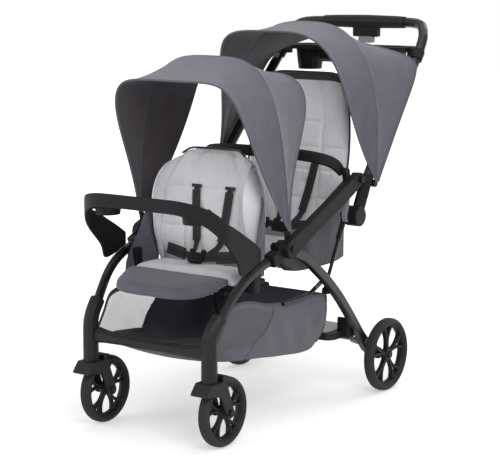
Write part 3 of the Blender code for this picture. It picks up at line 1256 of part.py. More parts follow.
def make_harness(name, body, foot, top, lean, shoulders, waist, buckle):
    """Shoulder straps, waist pads and buckle of one seat as one body that lies on the back pad.

    A strap point is (x, share of the pad's height, distance in front of the pad's back plane).
    """
    along = top - foot
    across = Vector((-along.y, along.x)).normalized()

    def place(x, share, out):
        spot = foot + along * share + across * out
        return Vector((x, spot.x, spot.y))

    straps = []
    for _, side in SIDES:
        path = [place(lean * share + x * side, share, out) for x, share, out in shoulders]
        straps.append(harness_band(path, STRAP_HALF, HARNESS_THICK))
        path = [place(x * side, share, out) for x, share, out in waist]
        straps.append(harness_band(path, WAIST_PAD_HALF, WAIST_PAD_THICK))
    middle = place(*buckle)
    made = block((middle.x - BUCKLE_HALF.x, middle.y - BUCKLE_HALF.y, middle.z - BUCKLE_HALF.z),
                 (middle.x + BUCKLE_HALF.x, middle.y + BUCKLE_HALF.y, middle.z + BUCKLE_HALF.z), 0.004)
    settle(made)
    fuse(made, *straps)
    finish(made, name, "webbing", body)


def harness_band(path, half, thick):
    """A flat band whose face looks forwards and up, with square ends."""
    rings = []
    for k, point in enumerate(path):
        along = (path[min(k + 1, len(path) - 1)] - path[max(k - 1, 0)]).normalized()
        face = Vector((0, -0.985, 0.17))
        face = (face - along * face.dot(along)).normalized()
        wide = along.cross(face).normalized()
        rings.append([point + wide * a + face * b for a, b in
                      ((half, 0), (half * 0.9, thick), (-half * 0.9, thick), (-half, 0))])
    return section_sweep(rings)


def make_rear_seat():
    """Rear seat: frame tube, board, cushion, backrest and side panels."""
    y0, y1 = REAR_SEAT_Y
    z = REAR_SEAT_Z
    frame_z = z - BOARD_THICK - 0.0085 - GAP
    half = REAR_SEAT_HALF - 0.004
    line = [(SEAT_EYE_X, HUB.x + 0.006, HUB.y - 0.009), (half + 0.014, HUB.x + 0.040, HUB.y - 0.045),
            (half + 0.004, HUB.x + 0.085, HUB.y - 0.075),
            (half, y0 - 0.030, frame_z), (half, y0 + 0.050, frame_z), (half, y1 - 0.020, frame_z),
            (half - 0.012, y1 + 0.002, frame_z), (half - 0.040, y1 + 0.010, frame_z), (0, y1 + 0.012, frame_z)]
    path = smooth_path(line, 1)
    path = [*path, *[Vector((-p.x, p.y, p.z)) for p in reversed(path[:-1])]]
    board = seat_board((y0, y1 + 0.018), z, REAR_SEAT_HALF, BOARD_THICK + 0.005)
    eyes = [cylinder_x(HUB, 0.0125, *span(side, SEAT_EYE_X - 0.007, SEAT_EYE_X + 0.007), 12) for _, side in SIDES]
    fuse(board, tube(path, 0.008, 1), *eyes)
    cut(board, cylinder_x(HUB, PIN_RADIUS + BORE_FIT, -LEG_INNER_X, LEG_INNER_X, 12))
    finish(board, "rear_seat_base", "black_plastic")
    pad = cushion((y0 + 0.004, z + GAP), (y1 - 0.014, z + GAP), REAR_SEAT_HALF - 0.003, SEAT_PAD_THICK, 1, 8, 12,
                  channels=(("u", -0.42, 0.25), ("u", 0.42, 0.25)))
    finish(pad, "rear_seat_pad", "light_fabric", smooth_angle=60)
    pad = cushion(REAR_BACK_FOOT, REAR_BACK_TOP, 0.180, BACK_PAD_THICK, 1, 14, 12,
                  channels=(("u", -0.40, 0.25), ("u", 0.40, 0.25), ("v", 0.22, 0.2), ("v", -0.1, 0.15)), narrow=0.22,
                  rounding=1.0)
    finish(pad, "rear_backrest", "light_fabric", "rear_backrest", 60)
    make_harness("rear_harness", "rear_backrest", REAR_BACK_FOOT, REAR_BACK_TOP, 0.055,
                 ((0.0525, 0.500, 0.0263), (0.050, 0.40, 0.0264), (0.044, 0.27, 0.0266), (0.036, 0.17, 0.0285),
                  (0.018, 0.092, 0.058)),
                 ((0.016, 0.098, 0.064), (0.045, 0.108, 0.050), (0.090, 0.116, 0.037), (0.140, 0.122, 0.031)),
                 (0.0, 0.098, 0.068))


def make_basket():
    """Sagging fabric trough under the seats, open at the top, with its tubes and hangers."""
    stations = [
        (-0.4602, 0.272, 0.250, 0.150), (-0.430, 0.318, 0.226, 0.160), (-0.400, 0.366, 0.212, 0.168),
        (-0.350, 0.378, 0.202, 0.172), (-0.290, 0.372, 0.194, 0.176), (-0.215, 0.352, 0.185, 0.178),
        (-0.155, 0.345, 0.176, 0.178), (-0.090, 0.343, 0.168, 0.178), (-0.010, 0.340, 0.158, 0.176),
        (0.050, 0.334, 0.158, 0.174), (0.085, 0.333, 0.172, 0.172),
    ]
    bm = bmesh.new()
    rows = []
    for y, top, bottom, floor_half in stations:
        ring = []
        side_points = 3
        for s in (1, -1):
            wall = []
            for k in range(side_points + 1):
                t = k / side_points
                height = top + (bottom + 0.012 - top) * t
                x = BASKET_HALF + 0.006 * math.sin(math.pi * t) + (floor_half - BASKET_HALF) * t ** 2.5
                wall.append(Vector((x * s, y, height)))
            ring += wall if s > 0 else wall[::-1]
            if s > 0:
                for k in range(1, 6):
                    u = 1 - 2 * k / 6
                    ring.append(Vector((floor_half * u, y, bottom + 0.012 * abs(u) ** 2 - 0.0)))
        rows.append([bm.verts.new(p) for p in ring])
    for a, b in zip(rows, rows[1:]):
        for k in range(len(a) - 1):
            bm.faces.new((a[k], a[k + 1], b[k + 1], b[k]))
    bm.faces.new(rows[0])
    bm.faces.new(rows[-1])
    bmesh.ops.triangulate(bm, faces=[f for f in bm.faces if len(f.verts) > 4])
    basket = mesh_object(bm)
    shell = basket.modifiers.new("cloth", "SOLIDIFY")
    shell.thickness = BASKET_WALL
    shell.offset = 0
    settle(basket)
    finish(basket, "basket", "slate_fabric", smooth_angle=60)


def main():
    """Build every sub-assembly."""
    make_carriers()
    make_front_frame()
    make_casters()
    make_rear_frame()
    make_brakes()
    make_handle()
    make_struts()
    make_parent_tray()
    make_child_tray()
    make_belly_bar()
    make_canopies()
    make_front_seat()
    make_rear_seat()
    make_basket()


main()
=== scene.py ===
"""Dressed model of a sit and stand stroller for two children.

Lengths are metres and +Z is up. The children face -Y, and +X is the near side of the photograph. Points are
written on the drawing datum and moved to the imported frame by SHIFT, which is read from a wheel's place.
"""
import logging
import math
from dataclasses import dataclass, field, replace
from enum import Enum
from functools import reduce
from itertools import product
from typing import Callable, Sequence

import bpy
import numpy as np
from mathutils import Matrix, Vector


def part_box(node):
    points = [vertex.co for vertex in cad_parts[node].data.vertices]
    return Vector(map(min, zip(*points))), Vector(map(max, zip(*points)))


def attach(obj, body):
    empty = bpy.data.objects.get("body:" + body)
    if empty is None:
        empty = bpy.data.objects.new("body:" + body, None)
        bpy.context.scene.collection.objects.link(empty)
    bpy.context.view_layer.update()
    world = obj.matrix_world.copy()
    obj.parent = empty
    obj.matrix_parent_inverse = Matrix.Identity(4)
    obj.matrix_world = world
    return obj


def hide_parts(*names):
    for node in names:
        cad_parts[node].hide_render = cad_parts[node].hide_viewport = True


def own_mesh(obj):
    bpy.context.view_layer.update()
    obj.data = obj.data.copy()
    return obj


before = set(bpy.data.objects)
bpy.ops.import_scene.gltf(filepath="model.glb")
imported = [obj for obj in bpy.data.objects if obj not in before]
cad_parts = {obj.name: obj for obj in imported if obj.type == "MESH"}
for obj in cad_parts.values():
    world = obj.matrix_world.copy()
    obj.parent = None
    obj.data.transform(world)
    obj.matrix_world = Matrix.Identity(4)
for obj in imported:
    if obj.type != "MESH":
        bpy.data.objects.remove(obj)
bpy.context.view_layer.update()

Array = np.ndarray
Object = bpy.types.Object
Socket = bpy.types.NodeSocket
Tree = bpy.types.NodeTree
Material = bpy.types.Material
Point = tuple[float, float, float]
Pair = tuple[float, float]
Rows = tuple[tuple[float, ...], ...]
ACROSS = np.array([1.0, 0.0, 0.0])
UP = np.array([0.0, 0.0, 1.0])
log = logging.getLogger("stroller")

FRONT_AXLE_Y = -0.426
SHIFT = np.array([0.0, sum(corner[1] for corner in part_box("front_tyre_left")) / 2 - FRONT_AXLE_Y, 0.0])


class Side(Enum):
    """The child's left, which the photograph shows near, and the child's right."""
    LEFT = 1
    RIGHT = -1

    @property
    def label(self) -> str:
        """The side's word in names."""
        return self.name.lower()


class Surface(Enum):
    """How a sheet of points closes on itself."""
    OPEN = "open"
    TUBE = "tube"


# Curves and surfaces ---------------------------------------------------------------------------------------

def run_length(points: Array) -> Array:
    """The length of a line up to each of its points."""
    return np.r_[0, np.cumsum(np.linalg.norm(np.diff(points, axis=0), axis=1))]


def arch(share: Array) -> Array:
    """sin(pi s): nothing at shares 0 and 1, and one half way."""
    return np.sin(math.pi * share)


def ridge(distance: Array, width: float) -> Array:
    """exp(-(d / width)^2): one at the middle of a seam, and nothing far from it."""
    return np.exp(-(distance / width) ** 2)


def smooth_line(points: Sequence[Sequence[float]], count: int = 48) -> Array:
    """Run a Catmull-Rom curve through points and read it at equal steps of its length.

    Between points b and c, with a before and d after, and f from 0 to 1:
    q = (2b + (c - a) f + (2a - 5b + 4c - d) f^2 + (3b - a - 3c + d) f^3) / 2.

    Args:
        points: the known points.
        count: how many points come back.

    Returns:
        An array of count points.
    """
    known = np.asarray(points, float)
    padded = np.vstack([2 * known[0] - known[1], known, 2 * known[-1] - known[-2]])
    last = len(known) - 1
    t = np.linspace(0, last, 24 * last + 1)
    i = np.minimum(t.astype(int), last - 1)
    f = (t - i)[:, None]
    a, b, c, d = padded[i], padded[i + 1], padded[i + 2], padded[i + 3]
    q = (2 * b + (c - a) * f + (2 * a - 5 * b + 4 * c - d) * f ** 2 + (3 * b - a - 3 * c + d) * f ** 3) / 2
    length = run_length(q)
    want = np.linspace(0, length[-1], count)
    return np.stack([np.interp(want, length, q[:, k]) for k in range(q.shape[1])], axis=1)


def unit(vectors: Array) -> Array:
    """Scale vectors to length one."""
    return vectors / np.maximum(np.linalg.norm(vectors, axis=-1, keepdims=True), 1e-12)


def rounded_box_profile(half_a: float, half_b: float, power: float = 5.0, count: int = 24) -> Array:
    """Points of a superellipse: a = A |cos t|^(2/n) sign(cos t), b = B |sin t|^(2/n) sign(sin t)."""
    t = np.arange(count) / count * 2 * math.pi
    return np.stack([half_a * np.sign(np.cos(t)) * np.abs(np.cos(t)) ** (2 / power),
                     half_b * np.sign(np.sin(t)) * np.abs(np.sin(t)) ** (2 / power)], axis=1)


@dataclass
class Shape:
    """Points with four-sided and three-sided faces, and a UV pair for each point."""
    points: Array
    quads: Array
    tris: Array = field(default_factory=lambda: np.zeros((0, 3), int))
    uv: Array | None = None
    looks: Array | None = None

    def __add__(self, other: "Shape") -> "Shape":
        """Put two shapes in one, each with its own points."""
        n = len(self.points)
        mine = self.uv if self.uv is not None else np.zeros((n, 2))
        theirs = other.uv if other.uv is not None else np.zeros((len(other.points), 2))
        looks_a = self.looks if self.looks is not None else np.zeros(self.face_count, int)
        looks_b = other.looks if other.looks is not None else np.zeros(other.face_count, int)
        split_a, split_b = len(self.quads), len(other.quads)
        looks = np.r_[looks_a[:split_a], looks_b[:split_b], looks_a[split_a:], looks_b[split_b:]]
        return Shape(np.vstack([self.points, other.points]), np.vstack([self.quads, other.quads + n]),
                     np.vstack([self.tris, other.tris + n]), np.vstack([mine, theirs]), looks)

    @property
    def face_count(self) -> int:
        """How many faces there are."""
        return len(self.quads) + len(self.tris)

    def flipped(self) -> "Shape":
        """Turn every face round."""
        return replace(self, quads=self.quads[:, ::-1], tris=self.tris[:, ::-1])

    def corners(self) -> list[Array]:
        """The three corners of every triangle, with each four-sided face cut in two."""
        triangles = np.vstack([self.quads[:, [0, 1, 2]], self.quads[:, [0, 2, 3]], self.tris])
        return [self.points[triangles[:, k]] for k in range(3)]

    def outward(self) -> "Shape":
        """Make a closed shape's faces point out, by the sign of sum(a . (b x c)) / 6 over its triangles."""
        a, b, c = self.corners()
        return self if np.einsum("ij,ij->", a, np.cross(b, c)) > 0 else self.flipped()

    def on(self, side: Side) -> "Shape":
        """The shape on its side: the right side mirrors X and turns the faces round."""
        if side is Side.LEFT:
            return self
        return replace(self, points=self.points * np.array([-1.0, 1.0, 1.0])).flipped()

    def moved(self, offset: Sequence[float]) -> "Shape":
        """The shape moved by an offset."""
        return replace(self, points=self.points + np.asarray(offset, float))

    def area(self) -> float:
        """The sum of half the cross products of the faces' sides."""
        a, b, c = self.corners()
        return float(np.linalg.norm(np.cross(b - a, c - a), axis=1).sum() / 2)

    def piece(self, name: str, finishes: Sequence["Finish"], body: str | None,
              angle: float = 45.0) -> Object:
        """Make the object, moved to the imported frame.

        Args:
            name: the piece's name.
            finishes: its finishes, in the order of the face numbers in self.looks.
            body: the body that it rides on, or None while it is still being made.
            angle: edges sharper than this, in degrees, stay sharp.

        Returns:
            The new object.
        """
        mesh = bpy.data.meshes.new(name)
        mesh.from_pydata((self.points + SHIFT).tolist(), [], self.quads.tolist() + self.tris.tolist())
        if self.uv is not None:
            layer = mesh.uv_layers.new(name="UVMap")
            index = np.empty(len(mesh.loops), np.int32)
            mesh.loops.foreach_get("vertex_index", index)
            layer.data.foreach_set("uv", self.uv[index].astype(np.float32).ravel())
        for finish in finishes:
            mesh.materials.append(finish.material())
        if self.looks is not None:
            mesh.polygons.foreach_set("material_index", self.looks.astype(np.int32))
        mesh.validate()
        mesh.shade_smooth()
        mesh.set_sharp_from_angle(angle=math.radians(angle))
        made = bpy.data.objects.new(name, mesh)
        bpy.context.scene.collection.objects.link(made)
        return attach(made, body) if body else made


def joined(shapes: Sequence[Shape]) -> Shape:
    """All the shapes as one, each with its own points."""
    return reduce(lambda a, b: a + b, shapes)


def sheet_of(points: Array, form: Surface = Surface.OPEN, uv: Array | None = None) -> Shape:
    """Faces over a grid of points of rows by columns; a tube's last column meets its first.

    Args:
        points: an array of rows by columns by three.
        form: whether the columns close.
        uv: UV pairs on the same grid.

    Returns:
        The open shape.
    """
    rows, columns = points.shape[:2]
    wide = columns if form is Surface.TUBE else columns - 1
    r, c = np.meshgrid(np.arange(rows - 1), np.arange(wide), indexing="ij")
    nxt = (c + 1) % columns
    above, below = r * columns, (r + 1) * columns
    quads = np.stack([above + c, above + nxt, below + nxt, below + c], axis=-1)
    return Shape(points.reshape(-1, 3), quads.reshape(-1, 4), uv=None if uv is None else uv.reshape(-1, 2))


def between(front: Array, back: Array) -> Shape:
    """The closed body between two sheets of one size, with a wall round their border."""
    rows, columns = front.shape[:2]
    r, c = np.arange(rows), np.arange(columns)
    border = np.r_[c, r[1:] * columns + columns - 1, (rows - 1) * columns + c[-2::-1], r[-2:0:-1] * columns]
    nxt = np.roll(border, -1)
    n = rows * columns
    wall = np.stack([border, border + n, nxt + n, nxt], axis=1)
    whole = sheet_of(front) + sheet_of(back).flipped()
    return replace(whole, quads=np.vstack([whole.quads, wall]), looks=None, uv=None).outward()


def draped(low: Array, high: Array, columns: int, bulge: float,
           folds: Point) -> Shape:
    """A sheet ruled from one edge curve to another, s along them and t from the first to the second.

    It comes out in x by bulge sin(pi s) sin(pi t) + a sin(b s + c t) sin(pi t), with folds = (a, b, c).
    """
    t = np.linspace(0, 1, columns)[None, :]
    s = np.linspace(0, 1, len(low))[:, None]
    grid = low[:, None] * (1 - t[..., None]) + high[:, None] * t[..., None]
    out = bulge * arch(s) * arch(t) + folds[0] * np.sin(folds[1] * s + folds[2] * t) * arch(t)
    grid = grid + ACROSS * out[..., None]
    return sheet_of(grid, uv=np.stack(np.broadcast_arrays(s, t), axis=-1))


def closed_loft(rings: Array) -> Shape:
    """Join rings of points into a closed body, with a fan from a middle point over each end."""
    rows, columns = rings.shape[:2]
    along = run_length(rings.mean(axis=1))
    around = np.r_[0, np.cumsum(np.linalg.norm(np.diff(rings, axis=1), axis=2).mean(axis=0))]
    uv = np.stack(np.broadcast_arrays(around[None, :], along[:, None]), axis=-1)
    body = sheet_of(rings, Surface.TUBE, uv)
    points = np.vstack([body.points, rings[0].mean(axis=0), rings[-1].mean(axis=0)])
    k = np.arange(columns)
    nxt = (k + 1) % columns
    n = rows * columns
    first = np.stack([np.full(columns, n), nxt, k], axis=1)
    last = np.stack([np.full(columns, n + 1), n - columns + k, n - columns + nxt], axis=1)
    ends = np.array([uv[0].mean(axis=0), uv[-1].mean(axis=0)])
    return Shape(points, body.quads, np.vstack([first, last]), np.vstack([body.uv, ends])).outward()


def rod(path: Array, radius: float, sides: int = 16) -> Shape:
    """Carry the circle (r cos t, r sin t) along a path: its axes are s = t x up and s x t, with t the tangent."""
    t = np.arange(sides) / sides * 2 * math.pi
    up = (0.0, 0.0, 1.0) if abs(unit(path[-1] - path[0])[2]) < 0.9 else (0.0, 1.0, 0.0)
    tangent = unit(np.gradient(path, axis=0))
    side = unit(np.cross(tangent, up))[:, None]
    lift = np.cross(side[:, 0], tangent)[:, None]
    return closed_loft(path[:, None] + (side * np.cos(t)[:, None] + lift * np.sin(t)[:, None]) * radius)


def turned(profile: Sequence[Sequence[float]], centre: Sequence[float], steps: int = 72) -> Shape:
    """Turn a closed (radius, x) profile about an X axis: (x, r cos a, r sin a)."""
    ring = np.asarray(profile, float)
    a = np.arange(steps) / steps * 2 * math.pi
    r, x = ring[:, 0], np.broadcast_to(ring[:, 1], (steps, len(ring)))
    grid = np.stack([x, np.outer(np.cos(a), r), np.outer(np.sin(a), r)], axis=-1)
    body = sheet_of(np.vstack([grid, grid[:1]]), Surface.TUBE)
    merged = body.quads % (steps * len(ring))
    uv = np.stack(np.broadcast_arrays(a[:, None] * r.max(), np.arange(len(ring))[None, :] * 0.01), axis=-1)
    return Shape(body.points[: steps * len(ring)], merged, uv=uv.reshape(-1, 2)).outward().moved(centre)


def pebble(centre: Sequence[float], half: Sequence[float], power: float = 5.0, steps: int = 20) -> Shape:
    """A rounded box: the superellipsoid |x/a|^n + |y/b|^n + |z/c|^n = 1, read on latitudes and longitudes."""
    lat = np.linspace(-math.pi / 2, math.pi / 2, steps + 1)[1:-1]
    lon = np.arange(2 * steps) / (2 * steps) * 2 * math.pi
    direction = np.stack([np.outer(np.cos(lat), np.cos(lon)), np.outer(np.cos(lat), np.sin(lon)),
                          np.outer(np.sin(lat), np.ones_like(lon))], axis=-1)
    size = (np.abs(direction) ** power).sum(axis=-1, keepdims=True) ** (-1 / power)
    return closed_loft(direction * size * np.asarray(half, float)).moved(centre)


# Finishes --------------------------------------------------------------------------------------------------

WHITE = (1.0, 1.0, 1.0, 1.0)


class Nodes:
    """Adds nodes to a shader tree. A socket or a plain value can go into any input."""

    def __init__(self, tree: Tree) -> None:
        """Keep the tree."""
        self.tree = tree

    def fill(self, node: bpy.types.Node, **inputs: object) -> bpy.types.Node:
        """Fill a node's settings and inputs, by name with underscores for spaces, or by i and a number."""
        for name, value in inputs.items():
            if hasattr(node, name):
                setattr(node, name, value)
                continue
            numbered = name[0] == "i" and name[1:].isdigit()
            socket = node.inputs[int(name[1:]) if numbered else name.replace("_", " ")]
            if isinstance(value, Socket):
                self.tree.links.new(value, socket)
            else:
                socket.default_value = value
        return node

    def add(self, kind: str, **inputs: object) -> bpy.types.Node:
        """Add a node of the type ShaderNode with kind after it, and fill it."""
        return self.fill(self.tree.nodes.new("ShaderNode" + kind), **inputs)

    def math(self, operation: str, first: object, second: object = 0.0) -> Socket:
        """What a Math node makes of one or two numbers."""
        return self.add("Math", operation=operation, i0=first, i1=second).outputs[0]

    def ranged(self, value: object, low: float, high: float, start: object, end: object) -> Socket:
        """Carry a value from the range low to high into the range start to end, held at both ends."""
        return self.add("MapRange", i0=value, i1=low, i2=high, i3=start, i4=end).outputs[0]

    def mix(self, share: object, first: object, second: object) -> Socket:
        """Mix two colours by a share."""
        return self.add("Mix", data_type="RGBA", i0=share, i6=first, i7=second).outputs[2]

    def noise(self, place: Socket, scale: object, **more: object) -> Socket:
        """A noise at a place."""
        return self.add("TexNoise", Vector=place, Scale=scale, **more).outputs[0]

    def bump(self, strength: float, distance: float, height: object, **more: object) -> Socket:
        """The normal that a height gives."""
        return self.add("Bump", Strength=strength, Distance=distance, Height=height, **more).outputs[0]

    def split(self, place: Socket) -> bpy.types.bpy_prop_collection:
        """A vector's x, y and z."""
        return self.add("SeparateXYZ", Vector=place).outputs


def effect(name: str, inputs: dict[str, object], kind: str,
           build: Callable[[Nodes, dict], Socket]) -> Tree:
    """Build a shader node group once, and hand it out after that.

    Args:
        name: the group's name.
        inputs: each input's first value, where None is a vector and four numbers are a colour.
        kind: the output's kind, Color or Float.
        build: makes the nodes from the inputs' sockets, and returns the socket that goes out.

    Returns:
        The group.
    """
    if name in bpy.data.node_groups:
        return bpy.data.node_groups[name]
    group = bpy.data.node_groups.new(name, "ShaderNodeTree")
    for title, value in inputs.items():
        sort = "Vector" if value is None else "Color" if isinstance(value, tuple) else "Float"
        socket = group.interface.new_socket(title, in_out="INPUT", socket_type="NodeSocket" + sort)
        if value is not None:
            socket.default_value = value
    group.interface.new_socket("Result", in_out="OUTPUT", socket_type="NodeSocket" + kind)
    entry, end = group.nodes.new("NodeGroupInput"), group.nodes.new("NodeGroupOutput")
    group.links.new(build(Nodes(group), {s.name: s for s in entry.outputs}), end.inputs["Result"])
    return group


def mottle() -> Tree:
    """Colour that drifts between two tones: mix(a, b, amount * noise) with a second, larger noise on it. On cloth
    the fine noise is yarn colour and the larger noise is painted soft crease shade.
    """
    def build(n: Nodes, i: dict) -> Socket:
        """Two noises, added and used as the mix factor."""
        fine = n.noise(i["Vector"], i["Scale"], Detail=3.0, Roughness=0.6)
        wide = n.noise(i["Vector"], n.math("MULTIPLY", i["Scale"], 0.06), Detail=2.0)
        share = n.ranged(n.math("ADD", fine, wide), 0.7, 1.3, 0.0, i["Amount"])
        return n.mix(share, i["First"], i["Second"])
    values = {"Vector": None, "Scale": 100.0, "Amount": 0.5, "First": WHITE, "Second": WHITE}
    return effect("two_tone", values, "Color", build)


def weave() -> Tree:
    """Plain weave: h = sin(kx) sin(kz) + sin(ky) sin(kz) + sin(kx) sin(ky), k = 2 pi / pitch."""
    def build(n: Nodes, i: dict) -> Socket:
        """Three products of sines of the coordinates."""
        k = n.math("DIVIDE", 2 * math.pi, i["Pitch"])
        x, y, z = (n.math("SINE", n.math("MULTIPLY", axis, k)) for axis in n.split(i["Vector"]))
        first = n.math("ADD", n.math("MULTIPLY", x, z), n.math("MULTIPLY", y, z))
        return n.math("ADD", first, n.math("MULTIPLY", x, y))
    return effect("plain_weave", {"Vector": None, "Pitch": 0.001}, "Float", build)


def rubbed() -> Tree:
    """Wear and dust: a ragged mask from noise, denser towards the ground up to a reach."""
    def build(n: Nodes, i: dict) -> Socket:
        """Noise against a threshold, times a fall-off with height."""
        low = n.ranged(n.split(i["Vector"])[2], 0.0, i["Reach"], 1.0, 0.25)
        mask = n.ranged(n.noise(i["Vector"], 38.0, Detail=6.0, Roughness=0.7), 0.52, 0.75, 0.0, 1.0)
        return n.math("MULTIPLY", n.math("MULTIPLY", mask, low), i["Amount"])
    return effect("rub_and_dust", {"Vector": None, "Reach": 0.4, "Amount": 0.3}, "Float", build)


def tone(color: Sequence[float], scale: float = 1.0) -> tuple[float, float, float, float]:
    """A colour times a scale, with alpha one."""
    return (color[0] * scale, color[1] * scale, color[2] * scale, 1.0)


@dataclass(frozen=True)
class Finish:
    """What every finish has: a name, a colour, a roughness and the size of its relief."""
    name: str
    color: Point
    rough: float = 0.5
    relief: float = 0.0002

    def base(self) -> tuple[Material, Nodes, bpy.types.Node, Socket]:
        """Start the material: its tree, its Principled shader and its Object coordinates."""
        made = bpy.data.materials.new(self.name)
        made.use_nodes = True
        n = Nodes(made.node_tree)
        shader = n.fill(made.node_tree.nodes["Principled BSDF"], Roughness=self.rough)
        return made, n, shader, n.add("TexCoord").outputs["Object"]

    def material(self) -> Material:
        """The material, made once."""
        return bpy.data.materials.get(self.name) or self.make()

    def make(self) -> Material:
        """Build the material."""
        raise NotImplementedError


@dataclass(frozen=True)
class Moulded(Finish):
    """Moulded plastic or powder-coated metal: fine grain, slight colour drift, rub marks and dust."""
    grain: float = 1400.0
    drift: float = 1.5
    dust: float = 0.25
    coat: float = 0.0
    gloss: float = 0.32
    rub: float = 0.25

    def make(self) -> Material:
        """Grain into the bump, two-tone colour with a dusty mask over it."""
        made, n, shader, place = self.base()
        tones = n.add("Group", node_tree=mottle(), Vector=place, Scale=60.0, Amount=1.0,
                      First=tone(self.color), Second=tone(self.color, self.drift)).outputs[0]
        wear = n.add("Group", node_tree=rubbed(), Vector=place, Amount=self.dust).outputs[0]
        dusty = tone([min(1.0, c * 1.6 + 0.035) for c in self.color])
        n.fill(shader, Base_Color=n.mix(wear, tones, dusty),
               Roughness=n.ranged(wear, 0.0, 1.0, self.rough, min(1.0, self.rough + self.rub)),
               Normal=n.bump(0.35, self.relief, n.noise(place, self.grain, Detail=2.0)),
               Specular_IOR_Level=self.gloss, Coat_Weight=self.coat)
        return made


@dataclass(frozen=True)
class Cloth(Finish):
    """Woven cover cloth: two mixed yarn colours with painted soft crease shade, a weave with painted thread
    shade, soft creases and a sheen.
    """
    second: Point = (0.2, 0.2, 0.22)
    pitch: float = 0.0011
    sheen: float = 0.25
    crease: float = 0.0020
    mix: float = 0.8

    def make(self) -> Material:
        """Yarn colours and painted soft crease shade from noise, the weave's painted thread shade on the colour,
        and the weave and slow creases into the bump.
        """
        made, n, shader, place = self.base()
        # Painted soft crease shade: the larger noise of this two-tone mix makes lighter and darker patches about
        # 40 mm across; the fine noise gives the yarn colours.
        tones = n.add("Group", node_tree=mottle(), Vector=place, Scale=420.0, Amount=self.mix,
                      First=tone(self.color), Second=tone(self.second)).outputs[0]
        threads = n.add("Group", node_tree=weave(), Vector=place, Pitch=self.pitch).outputs[0]
        # Painted shade and highlight of the weave: the colour is scaled from 0.90 in the thread dips to 1.10 on
        # the thread tops.
        color = n.add("VectorMath", operation="SCALE", i0=tones, Scale=n.ranged(threads, -1.5, 1.5, 0.90, 1.10))
        fold = n.bump(0.5, self.crease, n.noise(place, 34.0, Detail=3.0, Distortion=0.6))
        n.fill(shader, Base_Color=color.outputs[0], Normal=n.bump(0.5, self.relief, threads, Normal=fold),
               Sheen_Weight=self.sheen, Sheen_Roughness=0.5)
        return made


@dataclass(frozen=True)
class Webbing(Finish):
    """Strap webbing: ribs across the strap and two woven edge lines, on the strap's own UV map."""
    rib: float = 0.0016
    edge: float = 0.62

    def make(self) -> Material:
        """Ribs along V, edge lines at fixed shares of U."""
        made, n, shader, _ = self.base()
        across, along, _ = n.split(n.add("UVMap", uv_map="UVMap").outputs[0])
        wave = n.math("SINE", n.math("MULTIPLY", along, 2 * math.pi / self.rib))
        away = n.math("ABSOLUTE", n.math("SUBTRACT", n.math("ABSOLUTE", across), self.edge))
        line = n.ranged(away, 0.02, 0.07, 1.0, 0.0)
        n.fill(shader, Base_Color=n.mix(line, tone(self.color), tone(self.color, 5.0)),
               Normal=n.bump(0.6, self.relief, wave))
        return made


@dataclass(frozen=True)
class Net(Finish):
    """See-through net: threads along U and V at a pitch, with nearly clear holes between them."""
    pitch: float = 0.0016
    thread: float = 0.42
    film: float = 0.18
    cover: float = 0.47

    def make(self) -> Material:
        """Alpha is cover where either coordinate is near a thread, and film in the holes."""
        made, n, shader, place = self.base()
        places = n.split(n.add("UVMap", uv_map="UVMap").outputs[0])[:2]
        masks = [n.math("LESS_THAN", n.math("FRACT", n.math("DIVIDE", share, self.pitch)), self.thread)
                 for share in places]
        n.fill(shader, Alpha=n.ranged(n.math("MAXIMUM", *masks), 0.0, 1.0, self.film, self.cover),
               Base_Color=n.mix(n.noise(place, 120.0), tone(self.color), tone(self.color, 1.4)))
        return made


BLACK = Moulded("moulded_black", (0.0060, 0.0057, 0.0062), 0.54, dust=0.08, gloss=0.20)
BLACK_LOW = Moulded("moulded_black_low", (0.0085, 0.0082, 0.0090), 0.50, dust=0.20, gloss=0.26)
PAINT = Moulded("powder_coat_black", (0.0060, 0.0058, 0.0060), 0.36, grain=2200.0, dust=0.08, coat=0.10)
TYRE = Moulded("foam_tyre", (0.0200, 0.0195, 0.0215), 0.70, 0.0004, grain=900.0, dust=0.3)
FOAM = Moulded("grip_foam", (0.0150, 0.0140, 0.0150), 0.88, 0.0006, grain=2600.0, dust=0.05)
GREY = Moulded("lever_grey", (0.2300, 0.2500, 0.2800), 0.42, dust=0.1, drift=1.1)
DECK = Moulded("deck_grey", (0.2000, 0.2000, 0.2050), 0.72, 0.0008, grain=380.0, dust=0.3, drift=1.25)
SLATE = Cloth("slate_cloth", (0.088, 0.084, 0.108), 0.82, second=(0.120, 0.115, 0.144))
SLATE_DARK = Cloth("slate_cloth_dark", (0.046, 0.043, 0.054), 0.85, second=(0.070, 0.066, 0.080))
# Painted shade: the canopy's inner face is coloured darker than its outer slate cloth, for the shade inside the
# hood.
HOOD_INSIDE_SHADE = Cloth("canopy_lining", (0.052, 0.044, 0.050), 0.80, second=(0.080, 0.069, 0.078), sheen=0.15)
PALE = Cloth("pale_cloth", (0.760, 0.770, 0.800), 0.90, second=(0.880, 0.885, 0.905), sheen=0.2, mix=0.6)
TRIM = Cloth("dark_binding", (0.035, 0.034, 0.042), 0.80, second=(0.055, 0.054, 0.064), pitch=0.0008)
STRAP = Webbing("harness_webbing", (0.0120, 0.0120, 0.0130), 0.75)
NET_CLOTH = Net("basket_net", (0.190, 0.185, 0.210), 0.85)


# Soft goods ------------------------------------------------------------------------------------------------

VOXEL = 0.005
PRESSURE = 4.0
FRAMES = 20
BOARD_GAP = 0.0004
CLOTH_WALL = 0.0016
PAD_CAP = 0.004
PAD_SHARE = 0.92
PAD_BASE = 0.0006


def baked(piece: Object) -> Object:
    """Apply a piece's modifiers, so that its mesh is final."""
    bpy.context.view_layer.update()
    mesh = bpy.data.meshes.new_from_object(piece.evaluated_get(bpy.context.evaluated_depsgraph_get()))
    piece.modifiers.clear()
    piece.data = mesh
    return piece


